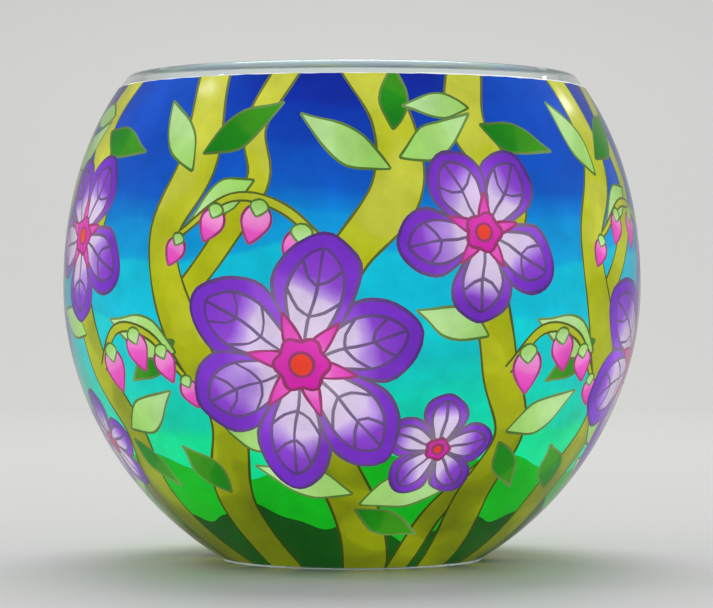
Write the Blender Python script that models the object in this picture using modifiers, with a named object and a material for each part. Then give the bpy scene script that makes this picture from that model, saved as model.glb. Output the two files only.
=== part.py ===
"""A glass tealight globe: a ball-shaped glass bowl in a printed film, with an LED tealight inside.

Run with: blender --background --python part.py
Metres, +Z up. The origin is the centre of the foot, on the surface that the globe stands on.
The tealight's own heights are counted from its underside.
"""

import math

import bmesh
import bpy
from mathutils import Vector

# ---- driving dimensions of the globe ----
GLOBE_RADIUS = 0.0547  # outside, at the widest level
GLOBE_HEIGHT = 0.0919  # foot to the top of the lip
WIDEST_HEIGHT = 0.0514  # level of the widest ring
FOOT_RADIUS = 0.0239  # where the wall's curve would reach the table
MOUTH_RADIUS = 0.0424  # where the wall's curve would reach the full height
LOWER_FULLNESS = 1.89  # 2 is an ellipse, more is squarer
UPPER_FULLNESS = 2.18
GLASS_WALL = 0.0030
GLASS_FLOOR = 0.0046  # height of the inner floor above the table
FOOT_ROUNDING = 0.0010  # outer edge of the foot
KICK_RADIUS = 0.0170  # hollow pressed into the underside
KICK_DEPTH = 0.0010
KICK_SLOPE = 0.0012  # width of the hollow's sloping side

# ---- film ----
FILM_THICKNESS = 0.0003
FILM_LOWER_EDGE = 0.0007  # height of the wall point where the film starts
BARE_LIP = 0.0025  # height of clear glass above the film

# ---- tealight, heights from its own underside ----
FIT_GAP = 0.0003  # between pieces that rest on or fit into each other
HOUSING_HEIGHT = 0.0165
HOUSING_TAPER = 0.0009  # how much slimmer the top is than the bottom
HOUSING_WALL = 0.0012
HOUSING_EDGE = 0.0010  # rounding of the top edge
DISH_DEPTH = 0.0016  # melted-wax hollow in the top
DISH_EDGE_ANGLE = math.radians(110)  # where the hollow meets the rounded edge
DISH_STEEPNESS = 2.5
DISH_STEPS = (0.0, 0.4, 0.7, 0.9)  # shares of the hollow's width, closer together where it climbs
COLLAR_HEIGHT = 0.0005  # raised ring round the lens
COLLAR_WIDTH = 0.0009
SNAP_BEAD_HEIGHT = 0.0003  # inward ring that holds the base plate in
SNAP_BEAD_DEPTH = 0.0006

PLATE_THICKNESS = 0.0014
PLATE_RIM = 0.0025  # narrowest part of the plate, beside the door's hole
PLATE_RECESS = 0.0006  # underside of the plate above the housing's rim
LEDGE_WIDTH = 0.0009  # step inside the housing that the plate seats on

CELL_RADIUS = 0.0100
CELL_THICKNESS = 0.0032
CELL_CAP_RADIUS = 0.0088
CELL_CAP_HEIGHT = 0.0004
CELL_EDGE = 0.0004  # slanted edges of the can
CELL_OFFSET = -0.0030  # x of the cell's centre
DOOR_THICKNESS = 0.0012
DOOR_CUP_WALL = 0.0010
DOOR_CUP_HEIGHT = 0.0016  # above the door's inner face
DOOR_LUG_REACH = 0.0011
DOOR_LUG_HEIGHT = 0.0008
DOOR_LUG_LENGTH = 0.0048
DOOR_LUG_LIFT = 0.0004  # lug above the plate that it locks over
DOOR_TURN = math.radians(40)  # locked to free, anticlockwise seen from below
COIN_SLOT_LENGTH = 0.0130
COIN_SLOT_WIDTH = 0.0018
COIN_SLOT_DEPTH = 0.0006

KNOB_LENGTH = 0.0034
KNOB_WIDTH = 0.0020
KNOB_RISE = 0.0003  # underside of the knob above the tealight's underside
SWITCH_TRAVEL = 0.0025
SWITCH_WEB = 0.0023  # plate left between the door's hole and the switch slot
SLIDER_FLANGE = 0.0009  # how far the flange laps over the slot's sides
SLIDER_FLANGE_HEIGHT = 0.0008
STEM_WIDTH = 0.0016

CELL_HEADROOM = 0.0017  # between the cell and the board
BOARD_THICKNESS = 0.0010
BOARD_CLEARANCE = 0.0013  # round the board's edge
POST_COUNT = 3
POST_START = math.radians(60)
POST_RADIUS = 0.0012
POST_INSET = 0.0028  # from the board's edge to a post's centre
PEG_RADIUS = 0.0006
PEG_REACH = 0.0006  # below the board

LED_RADIUS = 0.0025
LED_FLANGE_WIDTH = 0.0004
LED_FLANGE_HEIGHT = 0.0010
LED_HEIGHT = 0.0086
LEG_WIDTH = 0.0005
LEG_SPACING = 0.00254
LEG_BELOW_BOARD = 0.0010

LENS_CLEARANCE = 0.0007  # round the LED's flange
LENS_WALL = 0.0009
LENS_TIP_WALL = 0.0018
LENS_FLANGE_WIDTH = 0.0013
LENS_FLANGE_HEIGHT = 0.0009
LENS_HEIGHT = 0.0205  # above the dish
LENS_SHOULDER = 0.0055  # straight part above the dish
FLAME_POINTEDNESS = 1.15

STRIP_THICKNESS = 0.00025
NEGATIVE_WIDTH = 0.0030
NEGATIVE_PAD = 0.0026  # length soldered to the board, and length on the cell
NEGATIVE_SLOPE = 0.0035
POSITIVE_WIDTH = 0.0040
POSITIVE_PAD = 0.0018
WIPER_REACH = 0.0022  # from the stem's middle to the wiper's free end
WIPER_BEND = 0.0013
WIPER_RISE = 0.0005

# ---- fineness of the round shapes ----
GLOBE_STEPS = 48
SMALL_STEPS = 40
CURVE_POINTS = 10  # points on each half of the wall's curve
ARC_POINTS = 6
SMALL_ARC_POINTS = 4
THIN_STEPS = 12
LENS_STEPS = 24
FLAME_POINTS = 10
MERGE = 0.00001
SOLVE_PRECISION = 1e-9
CUT_MARGIN = 0.0010  # how far a cutter runs past the wall it cuts

# ---- levels worked out from the sizes above ----
FILM_UPPER_EDGE = GLOBE_HEIGHT - BARE_LIP
TEALIGHT_Z = GLASS_FLOOR + FIT_GAP
PLATE_TOP = PLATE_RECESS + PLATE_THICKNESS
PLATE_SEAT = PLATE_TOP + FIT_GAP
DOOR_TOP = PLATE_RECESS + DOOR_THICKNESS
CUP_TOP = DOOR_TOP + DOOR_CUP_HEIGHT
CELL_BOTTOM = DOOR_TOP + FIT_GAP
CELL_TOP = CELL_BOTTOM + CELL_THICKNESS
CELL_CAN_TOP = CELL_TOP - CELL_CAP_HEIGHT
BOARD_HEIGHT = CELL_TOP + CELL_HEADROOM
BOARD_TOP = BOARD_HEIGHT + BOARD_THICKNESS
DISH_FLOOR = HOUSING_HEIGHT - DISH_DEPTH
CEILING = DISH_FLOOR - HOUSING_WALL

CUP_RADIUS = CELL_RADIUS + FIT_GAP + DOOR_CUP_WALL
DOOR_HOLE_RADIUS = CUP_RADIUS + FIT_GAP
PLATE_RADIUS = DOOR_HOLE_RADIUS + abs(CELL_OFFSET) + PLATE_RIM
HOUSING_BORE = PLATE_RADIUS + FIT_GAP
TEALIGHT_RADIUS = HOUSING_BORE + HOUSING_WALL
HOUSING_TOP_RADIUS = TEALIGHT_RADIUS - HOUSING_TAPER
BOARD_RADIUS = HOUSING_BORE - HOUSING_TAPER / 2 - LEDGE_WIDTH - BOARD_CLEARANCE
POST_CIRCLE = BOARD_RADIUS - POST_INSET
SWITCH_OFFSET = CELL_OFFSET + DOOR_HOLE_RADIUS + SWITCH_WEB + FIT_GAP + KNOB_WIDTH / 2
LED_FLANGE_RADIUS = LED_RADIUS + LED_FLANGE_WIDTH
LENS_RADIUS = LED_FLANGE_RADIUS + LENS_CLEARANCE + LENS_WALL
LENS_HOLE_RADIUS = LENS_RADIUS + FIT_GAP


# ---- the wall's curve ----


def vertical_half_axis(rise, end_radius, fullness):
    """Half height of the oval that has end_radius at that rise from the widest level."""
    return rise / (1 - (end_radius / GLOBE_RADIUS) ** fullness) ** (1 / fullness)


LOWER_AXIS = vertical_half_axis(WIDEST_HEIGHT, FOOT_RADIUS, LOWER_FULLNESS)
UPPER_AXIS = vertical_half_axis(GLOBE_HEIGHT - WIDEST_HEIGHT, MOUTH_RADIUS, UPPER_FULLNESS)


def wall_point(z, depth=0.0):
    """Point of the wall's outside at height z, moved inwards by depth along the wall's normal."""
    rise = z - WIDEST_HEIGHT
    axis, fullness = (UPPER_AXIS, UPPER_FULLNESS) if rise > 0 else (LOWER_AXIS, LOWER_FULLNESS)
    share = abs(rise) / axis
    radius = GLOBE_RADIUS * (1 - share**fullness) ** (1 / fullness)
    across = (radius / GLOBE_RADIUS) ** (fullness - 1) / GLOBE_RADIUS
    along = math.copysign(share ** (fullness - 1) / axis, rise)
    length = math.hypot(across, along)
    return Vector((radius - depth * across / length, z - depth * along / length))


def solve(error, low, high):
    """Value between low and high where error changes from negative to positive."""
    while high - low > SOLVE_PRECISION:
        middle = (low + high) / 2
        if error(middle) < 0:
            low = middle
        else:
            high = middle
    return (low + high) / 2


def wall_curve(low, high, depth):
    """Points of the wall at depth between two heights of its outside, closest together at the foot."""
    count = 2 * CURVE_POINTS
    steps = [math.sin(math.pi / 2 * i / count) for i in range(count + 1)]
    return [wall_point(high - (high - low) * s, depth) for s in steps]


def arc(centre, radius, start, end, count=ARC_POINTS):
    """Points on an arc, with its angles in radians from the outward direction."""
    angles = [start + (end - start) * i / count for i in range(count + 1)]
    return [centre + radius * Vector((math.cos(a), math.sin(a))) for a in angles]


def direction(vector):
    return math.atan2(vector.y, vector.x)


# ---- making objects ----


def clear_scene():
    for item in list(bpy.data.objects):
        bpy.data.objects.remove(item, do_unlink=True)


def new_collection(name):
    made = bpy.data.collections.new(name)
    bpy.context.scene.collection.children.link(made)
    return made


def new_material(name, colour, roughness, metallic=0.0, transmission=0.0):
    made = bpy.data.materials.new(name)
    made.use_nodes = True
    shader = made.node_tree.nodes["Principled BSDF"]
    shader.inputs["Base Color"].default_value = (*colour, 1.0)
    shader.inputs["Roughness"].default_value = roughness
    shader.inputs["Metallic"].default_value = metallic
    shader.inputs["Transmission Weight"].default_value = transmission
    made.diffuse_color = (*colour, 1.0)
    return made


def add_object(name, mesh, collection, material=None):
    made = bpy.data.objects.new(name, mesh)
    collection.objects.link(made)
    if material:
        mesh.materials.append(material)
    return made


def from_bmesh(name, shape, collection, material=None):
    mesh = bpy.data.meshes.new(name)
    shape.to_mesh(mesh)
    shape.free()
    return add_object(name, mesh, collection, material)


def turned(name, profile, collection, material=None, steps=SMALL_STEPS, closed=False):
    """Solid of revolution about the object's own Z. The profile runs down its outer side.

    A closed profile is a ring with a hole through it; an open one starts and ends on the axis.
    """
    points = [(p[0], 0.0, p[1]) for p in profile]
    edges = [(i, i + 1) for i in range(len(points) - 1)]
    if closed:
        edges.append((len(points) - 1, 0))
    mesh = bpy.data.meshes.new(name)
    mesh.from_pydata(points, edges, [])
    made = add_object(name, mesh, collection, material)
    screw = made.modifiers.new("turn", "SCREW")
    screw.steps = steps
    screw.render_steps = steps
    screw.use_merge_vertices = True
    screw.merge_threshold = MERGE
    screw.use_smooth_shade = True
    return made


def box(name, size, centre, collection, turn=0.0):
    """Closed box with its own origin at its centre, turned about Z."""
    shape = bmesh.new()
    bmesh.ops.create_cube(shape, size=1.0)
    bmesh.ops.scale(shape, vec=size, verts=shape.verts)
    made = from_bmesh(name, shape, collection)
    made.location = centre
    made.rotation_euler.z = turn
    return made


def disc(name, radius, low, high, centre, collection, steps=SMALL_STEPS):
    """Closed cylinder between two heights."""
    shape = bmesh.new()
    bmesh.ops.create_cone(
        shape, cap_ends=True, segments=steps, radius1=radius, radius2=radius, depth=high - low
    )
    made = from_bmesh(name, shape, collection)
    made.location = (centre[0], centre[1], (low + high) / 2)
    return made


def strip(name, path, width, collection, material):
    """Sheet-metal strip that follows a path in the XZ plane."""
    mesh = bpy.data.meshes.new(name)
    points = [(x, side * width / 2, z) for x, z in path for side in (-1, 1)]
    faces = [(2 * i, 2 * i + 1, 2 * i + 3, 2 * i + 2) for i in range(len(path) - 1)]
    mesh.from_pydata(points, [], faces)
    made = add_object(name, mesh, collection, material)
    sheet = made.modifiers.new("gauge", "SOLIDIFY")
    sheet.thickness = STRIP_THICKNESS
    sheet.offset = 0.0
    sheet.use_even_offset = True
    return made


def combine(target, tool, operation):
    """Joins the tool to the target, or cuts it away, and keeps the tool as a hidden guide beside it."""
    tool.hide_render = True
    tool.display_type = "WIRE"
    tool.parent = target.parent
    step = target.modifiers.new(operation.lower(), "BOOLEAN")
    step.operation = operation
    step.object = tool


# ---- the globe ----


def globe_profile():
    """Inner floor, up the inside, over the lip, down the outside and under the foot."""
    lip_radius = GLASS_WALL / 2
    lip_end = solve(
        lambda z: wall_point(z, lip_radius).y + lip_radius - GLOBE_HEIGHT, WIDEST_HEIGHT, GLOBE_HEIGHT
    )
    lip_centre = wall_point(lip_end, lip_radius)
    outward = direction(wall_point(lip_end) - lip_centre)
    lip = arc(lip_centre, lip_radius, outward + math.pi, outward)

    floor_end = solve(lambda z: wall_point(z, GLASS_WALL).y - GLASS_FLOOR, 0, WIDEST_HEIGHT)
    inside = wall_curve(floor_end, lip_end, GLASS_WALL)[::-1]

    foot_end = solve(lambda z: wall_point(z, FOOT_ROUNDING).y - FOOT_ROUNDING, 0, WIDEST_HEIGHT)
    foot_centre = wall_point(foot_end, FOOT_ROUNDING)
    outside = wall_curve(foot_end, lip_end, 0.0)
    foot_start = direction(outside[-1] - foot_centre)
    foot = arc(foot_centre, FOOT_ROUNDING, foot_start, -math.pi / 2, SMALL_ARC_POINTS)
    kick = [(KICK_RADIUS, 0.0), (KICK_RADIUS - KICK_SLOPE, KICK_DEPTH), (0.0, KICK_DEPTH)]
    return [(0.0, GLASS_FLOOR), *inside, *lip[1:-1], *outside, *foot[1:], *kick]


def film_profile():
    """Closed outline of the film, which follows the wall's outside at the fit gap."""
    outer = wall_curve(FILM_LOWER_EDGE, FILM_UPPER_EDGE, -FIT_GAP - FILM_THICKNESS)
    inner = wall_curve(FILM_LOWER_EDGE, FILM_UPPER_EDGE, -FIT_GAP)[::-1]
    return [*outer, *inner]


def make_globe(collection, materials):
    turned("glass_globe", globe_profile(), collection, materials["glass"], GLOBE_STEPS)
    turned("decor_film", film_profile(), collection, materials["film"], GLOBE_STEPS, closed=True)


# ---- the tealight ----


def housing_profile():
    """Closed outline of the candle-shaped case: dished top, skirt, snap bead and the plate's ledge."""
    edge_centre = Vector((HOUSING_TOP_RADIUS - HOUSING_EDGE, HOUSING_HEIGHT - HOUSING_EDGE))
    edge = arc(edge_centre, HOUSING_EDGE, DISH_EDGE_ANGLE, 0, SMALL_ARC_POINTS)
    collar_radius = LENS_HOLE_RADIUS + COLLAR_WIDTH
    dish_size = edge[0] - Vector((collar_radius, DISH_FLOOR))
    dish = [
        (collar_radius + dish_size.x * s, DISH_FLOOR + dish_size.y * s**DISH_STEEPNESS)
        for s in DISH_STEPS
    ]
    collar_top = DISH_FLOOR + COLLAR_HEIGHT
    collar = [(LENS_HOLE_RADIUS, collar_top), (collar_radius, collar_top)]
    skirt = [
        (TEALIGHT_RADIUS, 0.0),
        (HOUSING_BORE - SNAP_BEAD_DEPTH, 0.0),
        (HOUSING_BORE - SNAP_BEAD_DEPTH, SNAP_BEAD_HEIGHT),
        (HOUSING_BORE, SNAP_BEAD_HEIGHT),
        (HOUSING_BORE, PLATE_SEAT),
        (HOUSING_BORE - LEDGE_WIDTH, PLATE_SEAT),
        (HOUSING_BORE - HOUSING_TAPER - LEDGE_WIDTH, CEILING),
        (LENS_HOLE_RADIUS, CEILING),
    ]
    return [*collar, *dish, *edge, *skirt]


def lens_profile():
    """Outline of the flame-shaped diffuser: flange under the housing's top, skirt down to the board."""
    flange_top = CEILING - FIT_GAP
    flange_bottom = flange_top - LENS_FLANGE_HEIGHT
    flange_radius = LENS_RADIUS + LENS_FLANGE_WIDTH
    skirt_bottom = BOARD_TOP + FIT_GAP
    shoulder = DISH_FLOOR + LENS_SHOULDER
    taper = LENS_HEIGHT - LENS_SHOULDER

    def flame(radius, height):
        steps = [i / FLAME_POINTS for i in range(FLAME_POINTS + 1)]
        return [
            (radius * math.cos(math.pi / 2 * s) ** FLAME_POINTEDNESS, shoulder + height * s)
            for s in steps
        ]

    outside = flame(LENS_RADIUS, taper)[::-1]
    inside = flame(LENS_RADIUS - LENS_WALL, taper - LENS_TIP_WALL)
    flange = [
        (LENS_RADIUS, flange_top),
        (flange_radius, flange_top),
        (flange_radius, flange_bottom),
        (LENS_RADIUS, flange_bottom),
    ]
    skirt = [(LENS_RADIUS, skirt_bottom), (LENS_RADIUS - LENS_WALL, skirt_bottom)]
    return [*outside, *flange, *skirt, *inside]


def make_base_plate(tealight, collection, cutters, material):
    plate = turned(
        "base_plate",
        [
            (0.0, PLATE_TOP),
            (PLATE_RADIUS, PLATE_TOP),
            (PLATE_RADIUS, PLATE_RECESS),
            (0.0, PLATE_RECESS),
        ],
        collection,
        material,
    )
    plate.parent = tealight
    below, above = PLATE_RECESS - CUT_MARGIN, PLATE_TOP + CUT_MARGIN
    hole = disc("door_hole", DOOR_HOLE_RADIUS, below, above, (CELL_OFFSET, 0), cutters)
    combine(plate, hole, "DIFFERENCE")
    notch = box(
        "door_notches",
        (
            DOOR_LUG_LENGTH + 2 * FIT_GAP,
            2 * (CUP_RADIUS + DOOR_LUG_REACH + FIT_GAP),
            above - below,
        ),
        (CELL_OFFSET, 0, (below + above) / 2),
        cutters,
        -DOOR_TURN,
    )
    combine(plate, notch, "DIFFERENCE")
    slot = box(
        "switch_slot",
        (KNOB_WIDTH + 2 * FIT_GAP, KNOB_LENGTH + SWITCH_TRAVEL + 2 * FIT_GAP, above - below),
        (SWITCH_OFFSET, 0, (below + above) / 2),
        cutters,
    )
    combine(plate, slot, "DIFFERENCE")


def post_places():
    """Centres of the posts that hang from the housing's top and carry the board."""
    turns = [POST_START + math.tau * i / POST_COUNT for i in range(POST_COUNT)]
    return [(POST_CIRCLE * math.cos(t), POST_CIRCLE * math.sin(t)) for t in turns]


def make_housing(tealight, collection, cutters, material):
    housing = turned("tealight_housing", housing_profile(), collection, material, closed=True)
    housing.parent = tealight
    root = DISH_FLOOR - HOUSING_WALL / 2
    for number, (x, y) in enumerate(post_places()):
        post = turned(
            f"post_{number}",
            [
                (0.0, root),
                (POST_RADIUS, root),
                (POST_RADIUS, BOARD_TOP + FIT_GAP),
                (PEG_RADIUS, BOARD_TOP + FIT_GAP),
                (PEG_RADIUS, BOARD_HEIGHT - PEG_REACH),
                (0.0, BOARD_HEIGHT - PEG_REACH),
            ],
            cutters,
            steps=THIN_STEPS,
        )
        post.location = (x, y, 0)
        combine(housing, post, "UNION")


def make_door(door_axis, collection, cutters, material):
    """Round cup that holds the cell, with two bayonet lugs and a coin slot. It turns about its origin."""
    bore = CELL_RADIUS + FIT_GAP
    door = turned(
        "battery_door",
        [
            (0.0, DOOR_TOP),
            (bore, DOOR_TOP),
            (bore, CUP_TOP),
            (CUP_RADIUS, CUP_TOP),
            (CUP_RADIUS, PLATE_RECESS),
            (0.0, PLATE_RECESS),
        ],
        collection,
        material,
    )
    door.parent = door_axis
    lug_bottom = PLATE_TOP + DOOR_LUG_LIFT
    for number, side in enumerate((-1, 1)):
        reach = DOOR_LUG_REACH + DOOR_CUP_WALL / 2
        lug = box(
            f"door_lug_{number}",
            (DOOR_LUG_LENGTH, reach, DOOR_LUG_HEIGHT),
            (0, side * (CUP_RADIUS + DOOR_LUG_REACH - reach / 2), lug_bottom + DOOR_LUG_HEIGHT / 2),
            cutters,
        )
        combine(door, lug, "UNION")
    slot = box(
        "coin_slot",
        (COIN_SLOT_WIDTH, COIN_SLOT_LENGTH, 2 * COIN_SLOT_DEPTH),
        (0, 0, PLATE_RECESS),
        cutters,
    )
    combine(door, slot, "DIFFERENCE")


def make_coin_cell(door_axis, collection, material):
    """Steel can below, with the smaller cap upwards."""
    cell = turned(
        "coin_cell",
        [
            (0.0, CELL_TOP),
            (CELL_CAP_RADIUS, CELL_TOP),
            (CELL_CAP_RADIUS, CELL_CAN_TOP),
            (CELL_RADIUS - CELL_EDGE, CELL_CAN_TOP),
            (CELL_RADIUS, CELL_CAN_TOP - CELL_EDGE),
            (CELL_RADIUS, CELL_BOTTOM + CELL_EDGE),
            (CELL_RADIUS - CELL_EDGE, CELL_BOTTOM),
            (0.0, CELL_BOTTOM),
        ],
        collection,
        material,
    )
    cell.parent = door_axis


def make_circuit_board(tealight, collection, cutters, material):
    board = turned(
        "circuit_board",
        [
            (0.0, BOARD_TOP),
            (BOARD_RADIUS, BOARD_TOP),
            (BOARD_RADIUS, BOARD_HEIGHT),
            (0.0, BOARD_HEIGHT),
        ],
        collection,
        material,
    )
    board.parent = tealight
    below, above = BOARD_HEIGHT - CUT_MARGIN, BOARD_TOP + CUT_MARGIN
    leg_hole = LEG_WIDTH * math.sqrt(0.5) + FIT_GAP
    holes = [(x, y, PEG_RADIUS + FIT_GAP) for x, y in post_places()]
    holes += [(x, 0.0, leg_hole) for x in (-LEG_SPACING / 2, LEG_SPACING / 2)]
    for number, (x, y, radius) in enumerate(holes):
        hole = disc(f"board_hole_{number}", radius, below, above, (x, y), cutters, THIN_STEPS)
        combine(board, hole, "DIFFERENCE")


def make_led(tealight, collection, cutters, material):
    """Round LED with its flange, and two legs through the board."""
    seat = BOARD_TOP + FIT_GAP
    dome_centre = Vector((0.0, seat + LED_HEIGHT - LED_RADIUS))
    dome = arc(dome_centre, LED_RADIUS, math.pi / 2, 0)
    led = turned(
        "led",
        [
            (0.0, dome[0].y),
            *dome[1:],
            (LED_RADIUS, seat + LED_FLANGE_HEIGHT),
            (LED_FLANGE_RADIUS, seat + LED_FLANGE_HEIGHT),
            (LED_FLANGE_RADIUS, seat),
            (0.0, seat),
        ],
        collection,
        material,
        steps=LENS_STEPS,
    )
    led.parent = tealight
    low = BOARD_HEIGHT - LEG_BELOW_BOARD
    high = seat + LED_FLANGE_HEIGHT / 2
    for number, side in enumerate((-1, 1)):
        leg = box(
            f"led_leg_{number}",
            (LEG_WIDTH, LEG_WIDTH, high - low),
            (side * LEG_SPACING / 2, 0, (low + high) / 2),
            cutters,
        )
        combine(led, leg, "UNION")


def make_contacts(tealight, collection, material):
    """Leaf spring on the cell's cap, and finger beside its can, both hung from the board."""
    under_board = BOARD_HEIGHT - FIT_GAP - STRIP_THICKNESS / 2
    on_cell = CELL_TOP + FIT_GAP + STRIP_THICKNESS / 2
    pad_end = -LEG_SPACING / 2 - LEG_WIDTH / 2 - FIT_GAP
    negative = strip(
        "negative_contact",
        [
            (pad_end, under_board),
            (pad_end - NEGATIVE_PAD, under_board),
            (pad_end - NEGATIVE_PAD - NEGATIVE_SLOPE, on_cell),
            (pad_end - 2 * NEGATIVE_PAD - NEGATIVE_SLOPE, on_cell),
        ],
        NEGATIVE_WIDTH,
        collection,
        material,
    )
    negative.parent = tealight
    finger = CELL_OFFSET + CELL_RADIUS + FIT_GAP + STRIP_THICKNESS / 2
    positive = strip(
        "positive_contact",
        [(finger + POSITIVE_PAD, under_board), (finger, under_board), (finger, CUP_TOP + FIT_GAP)],
        POSITIVE_WIDTH,
        collection,
        material,
    )
    positive.parent = tealight


def make_switch(switch_axis, collection, cutters, materials):
    """Knob in the plate's slot, flange above the plate, stem up to the board, and a wiper on the stem.

    It rests at the off end of its slot.
    """
    flange_low = PLATE_TOP + FIT_GAP
    flange_high = flange_low + SLIDER_FLANGE_HEIGHT
    arm_low = BOARD_HEIGHT - FIT_GAP - WIPER_RISE - STRIP_THICKNESS / 2
    stem_top = arm_low - STRIP_THICKNESS / 2 - FIT_GAP
    slider = box(
        "switch_slider",
        (
            KNOB_WIDTH + 2 * SLIDER_FLANGE,
            KNOB_LENGTH + 2 * SLIDER_FLANGE,
            SLIDER_FLANGE_HEIGHT,
        ),
        (0, 0, (flange_low + flange_high) / 2),
        collection,
    )
    slider.data.materials.append(materials["switch"])
    slider.parent = switch_axis
    middle = (flange_low + flange_high) / 2
    knob = box(
        "switch_knob",
        (KNOB_WIDTH, KNOB_LENGTH, middle - KNOB_RISE),
        (0, 0, (middle + KNOB_RISE) / 2),
        cutters,
    )
    combine(slider, knob, "UNION")
    stem = box(
        "switch_stem",
        (STEM_WIDTH, STEM_WIDTH, stem_top - middle),
        (0, 0, (stem_top + middle) / 2),
        cutters,
    )
    combine(slider, stem, "UNION")
    wiper = strip(
        "switch_wiper",
        [
            (-WIPER_REACH, arm_low + WIPER_RISE),
            (-WIPER_BEND, arm_low),
            (STEM_WIDTH / 2, arm_low),
        ],
        STEM_WIDTH,
        collection,
        materials["contact"],
    )
    wiper.parent = switch_axis


def make_tealight(collection, cutters, materials):
    tealight = bpy.data.objects.new("tealight", None)
    door_axis = bpy.data.objects.new("door_axis", None)
    switch_axis = bpy.data.objects.new("switch_axis", None)
    for empty in (tealight, door_axis, switch_axis):
        collection.objects.link(empty)
    tealight.location = (0, 0, TEALIGHT_Z)
    door_axis.parent = tealight
    door_axis.location = (CELL_OFFSET, 0, 0)
    switch_axis.parent = tealight
    switch_axis.location = (SWITCH_OFFSET, -SWITCH_TRAVEL / 2, 0)

    make_housing(tealight, collection, cutters, materials["housing"])
    lens = turned("flame_lens", lens_profile(), collection, materials["lens"], LENS_STEPS)
    lens.parent = tealight
    make_base_plate(tealight, collection, cutters, materials["housing"])
    make_circuit_board(tealight, collection, cutters, materials["board"])
    make_led(tealight, collection, cutters, materials["led"])
    make_contacts(tealight, collection, materials["contact"])
    make_door(door_axis, collection, cutters, materials["housing"])
    make_coin_cell(door_axis, collection, materials["cell"])
    make_switch(switch_axis, collection, cutters, materials)


def make_materials():
    return {
        "glass": new_material("clear_glass", (0.90, 0.96, 0.95), 0.02, transmission=1.0),
        "film": new_material("printed_film", (0.05, 0.45, 0.62), 0.25),
        "housing": new_material("white_plastic", (0.86, 0.85, 0.80), 0.45),
        "lens": new_material("frosted_plastic", (0.94, 0.93, 0.86), 0.5, transmission=0.5),
        "board": new_material("board_laminate", (0.03, 0.20, 0.09), 0.5),
        "led": new_material("led_epoxy", (0.90, 0.92, 0.95), 0.1, transmission=0.8),
        "contact": new_material("nickelled_steel", (0.74, 0.72, 0.68), 0.3, metallic=1.0),
        "cell": new_material("stainless_steel", (0.66, 0.66, 0.66), 0.25, metallic=1.0),
        "switch": new_material("black_plastic", (0.02, 0.02, 0.02), 0.5),
    }


def main():
    clear_scene()
    collection = new_collection("tealight_globe")
    cutters = new_collection("cutters")
    materials = make_materials()
    make_globe(collection, materials)
    make_tealight(collection, cutters, materials)


main()
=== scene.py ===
# Glass tealight globe: a blown bowl in a printed film, lit by the LED tealight that stands on its floor; that
# light on the film is painted on as a glow.
# Metres, +Z up, the middle of the foot at the origin. The camera looks along +Y.

import math
import random

import bmesh
import bpy
from mathutils import Matrix, Vector
from mathutils.geometry import convex_hull_2d, delaunay_2d_cdt


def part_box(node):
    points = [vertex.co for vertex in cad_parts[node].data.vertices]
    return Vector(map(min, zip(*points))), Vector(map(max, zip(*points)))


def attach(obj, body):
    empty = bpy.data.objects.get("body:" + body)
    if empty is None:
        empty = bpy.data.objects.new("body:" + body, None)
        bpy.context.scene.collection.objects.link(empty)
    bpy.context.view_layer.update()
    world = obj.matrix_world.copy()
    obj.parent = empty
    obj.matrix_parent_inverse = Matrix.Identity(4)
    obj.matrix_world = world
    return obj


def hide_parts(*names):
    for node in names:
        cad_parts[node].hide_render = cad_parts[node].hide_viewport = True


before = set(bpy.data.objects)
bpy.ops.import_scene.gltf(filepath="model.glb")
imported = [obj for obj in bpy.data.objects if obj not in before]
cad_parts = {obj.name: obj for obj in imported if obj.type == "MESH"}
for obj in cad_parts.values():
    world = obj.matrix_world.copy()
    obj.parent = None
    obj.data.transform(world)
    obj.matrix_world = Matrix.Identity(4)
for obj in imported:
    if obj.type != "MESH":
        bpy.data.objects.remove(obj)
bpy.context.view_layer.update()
mm = 0.001


# colours, nodes and objects


def linear(hexColour):
    # sRGB hex to linear RGBA
    parts = [int(hexColour[i : i + 2], 16) / 255 for i in (0, 2, 4)]
    return (*[p / 12.92 if p <= 0.04045 else ((p + 0.055) / 1.055) ** 2.4 for p in parts], 1.0)


def setNode(tree, node, settings=None, links=None):
    # a setting is a ramp's stops, a property of the node, or the value of the input with that name or number.
    # a link comes from an output, or from a node's first output
    for key, value in (settings or {}).items():
        if key == "stops":
            setStops(node.color_ramp.elements, value)
        elif isinstance(key, str) and hasattr(node, key):
            setattr(node, key, value)
        else:
            node.inputs[key].default_value = value
    for key, source in (links or {}).items():
        tree.links.new(source.outputs[0] if isinstance(source, bpy.types.Node) else source, node.inputs[key])
    return node


def addNode(tree, kind, settings=None, links=None):
    return setNode(tree, tree.nodes.new(kind), settings, links)


def setStops(elements, stops):
    # stops: (position, hex) from low to high
    while len(elements) < len(stops):
        elements.new(1.0)
    for element, (position, colour) in zip(elements, stops):
        element.position = position
        element.color = linear(colour)


def newMaterial(name):
    # gives the material, its node tree, its shader, and the place on the object that its patterns follow
    material = bpy.data.materials.new(name)
    material.use_nodes = True
    tree = material.node_tree
    place = addNode(tree, "ShaderNodeTexCoord").outputs["Object"]
    return material, tree, tree.nodes["Principled BSDF"], place


def newMesh(name, points, faces=()):
    mesh = bpy.data.meshes.new(name)
    mesh.from_pydata(points, [], faces)
    return mesh


def newObject(name, data, **settings):
    made = bpy.data.objects.new(name, data)
    bpy.context.scene.collection.objects.link(made)
    for key, value in settings.items():
        setattr(made, key, value)
    return made


def editMesh(mesh, change):
    # runs change on the mesh as a bmesh
    work = bmesh.new()
    work.from_mesh(mesh)
    change(work)
    work.to_mesh(mesh)
    work.free()


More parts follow.
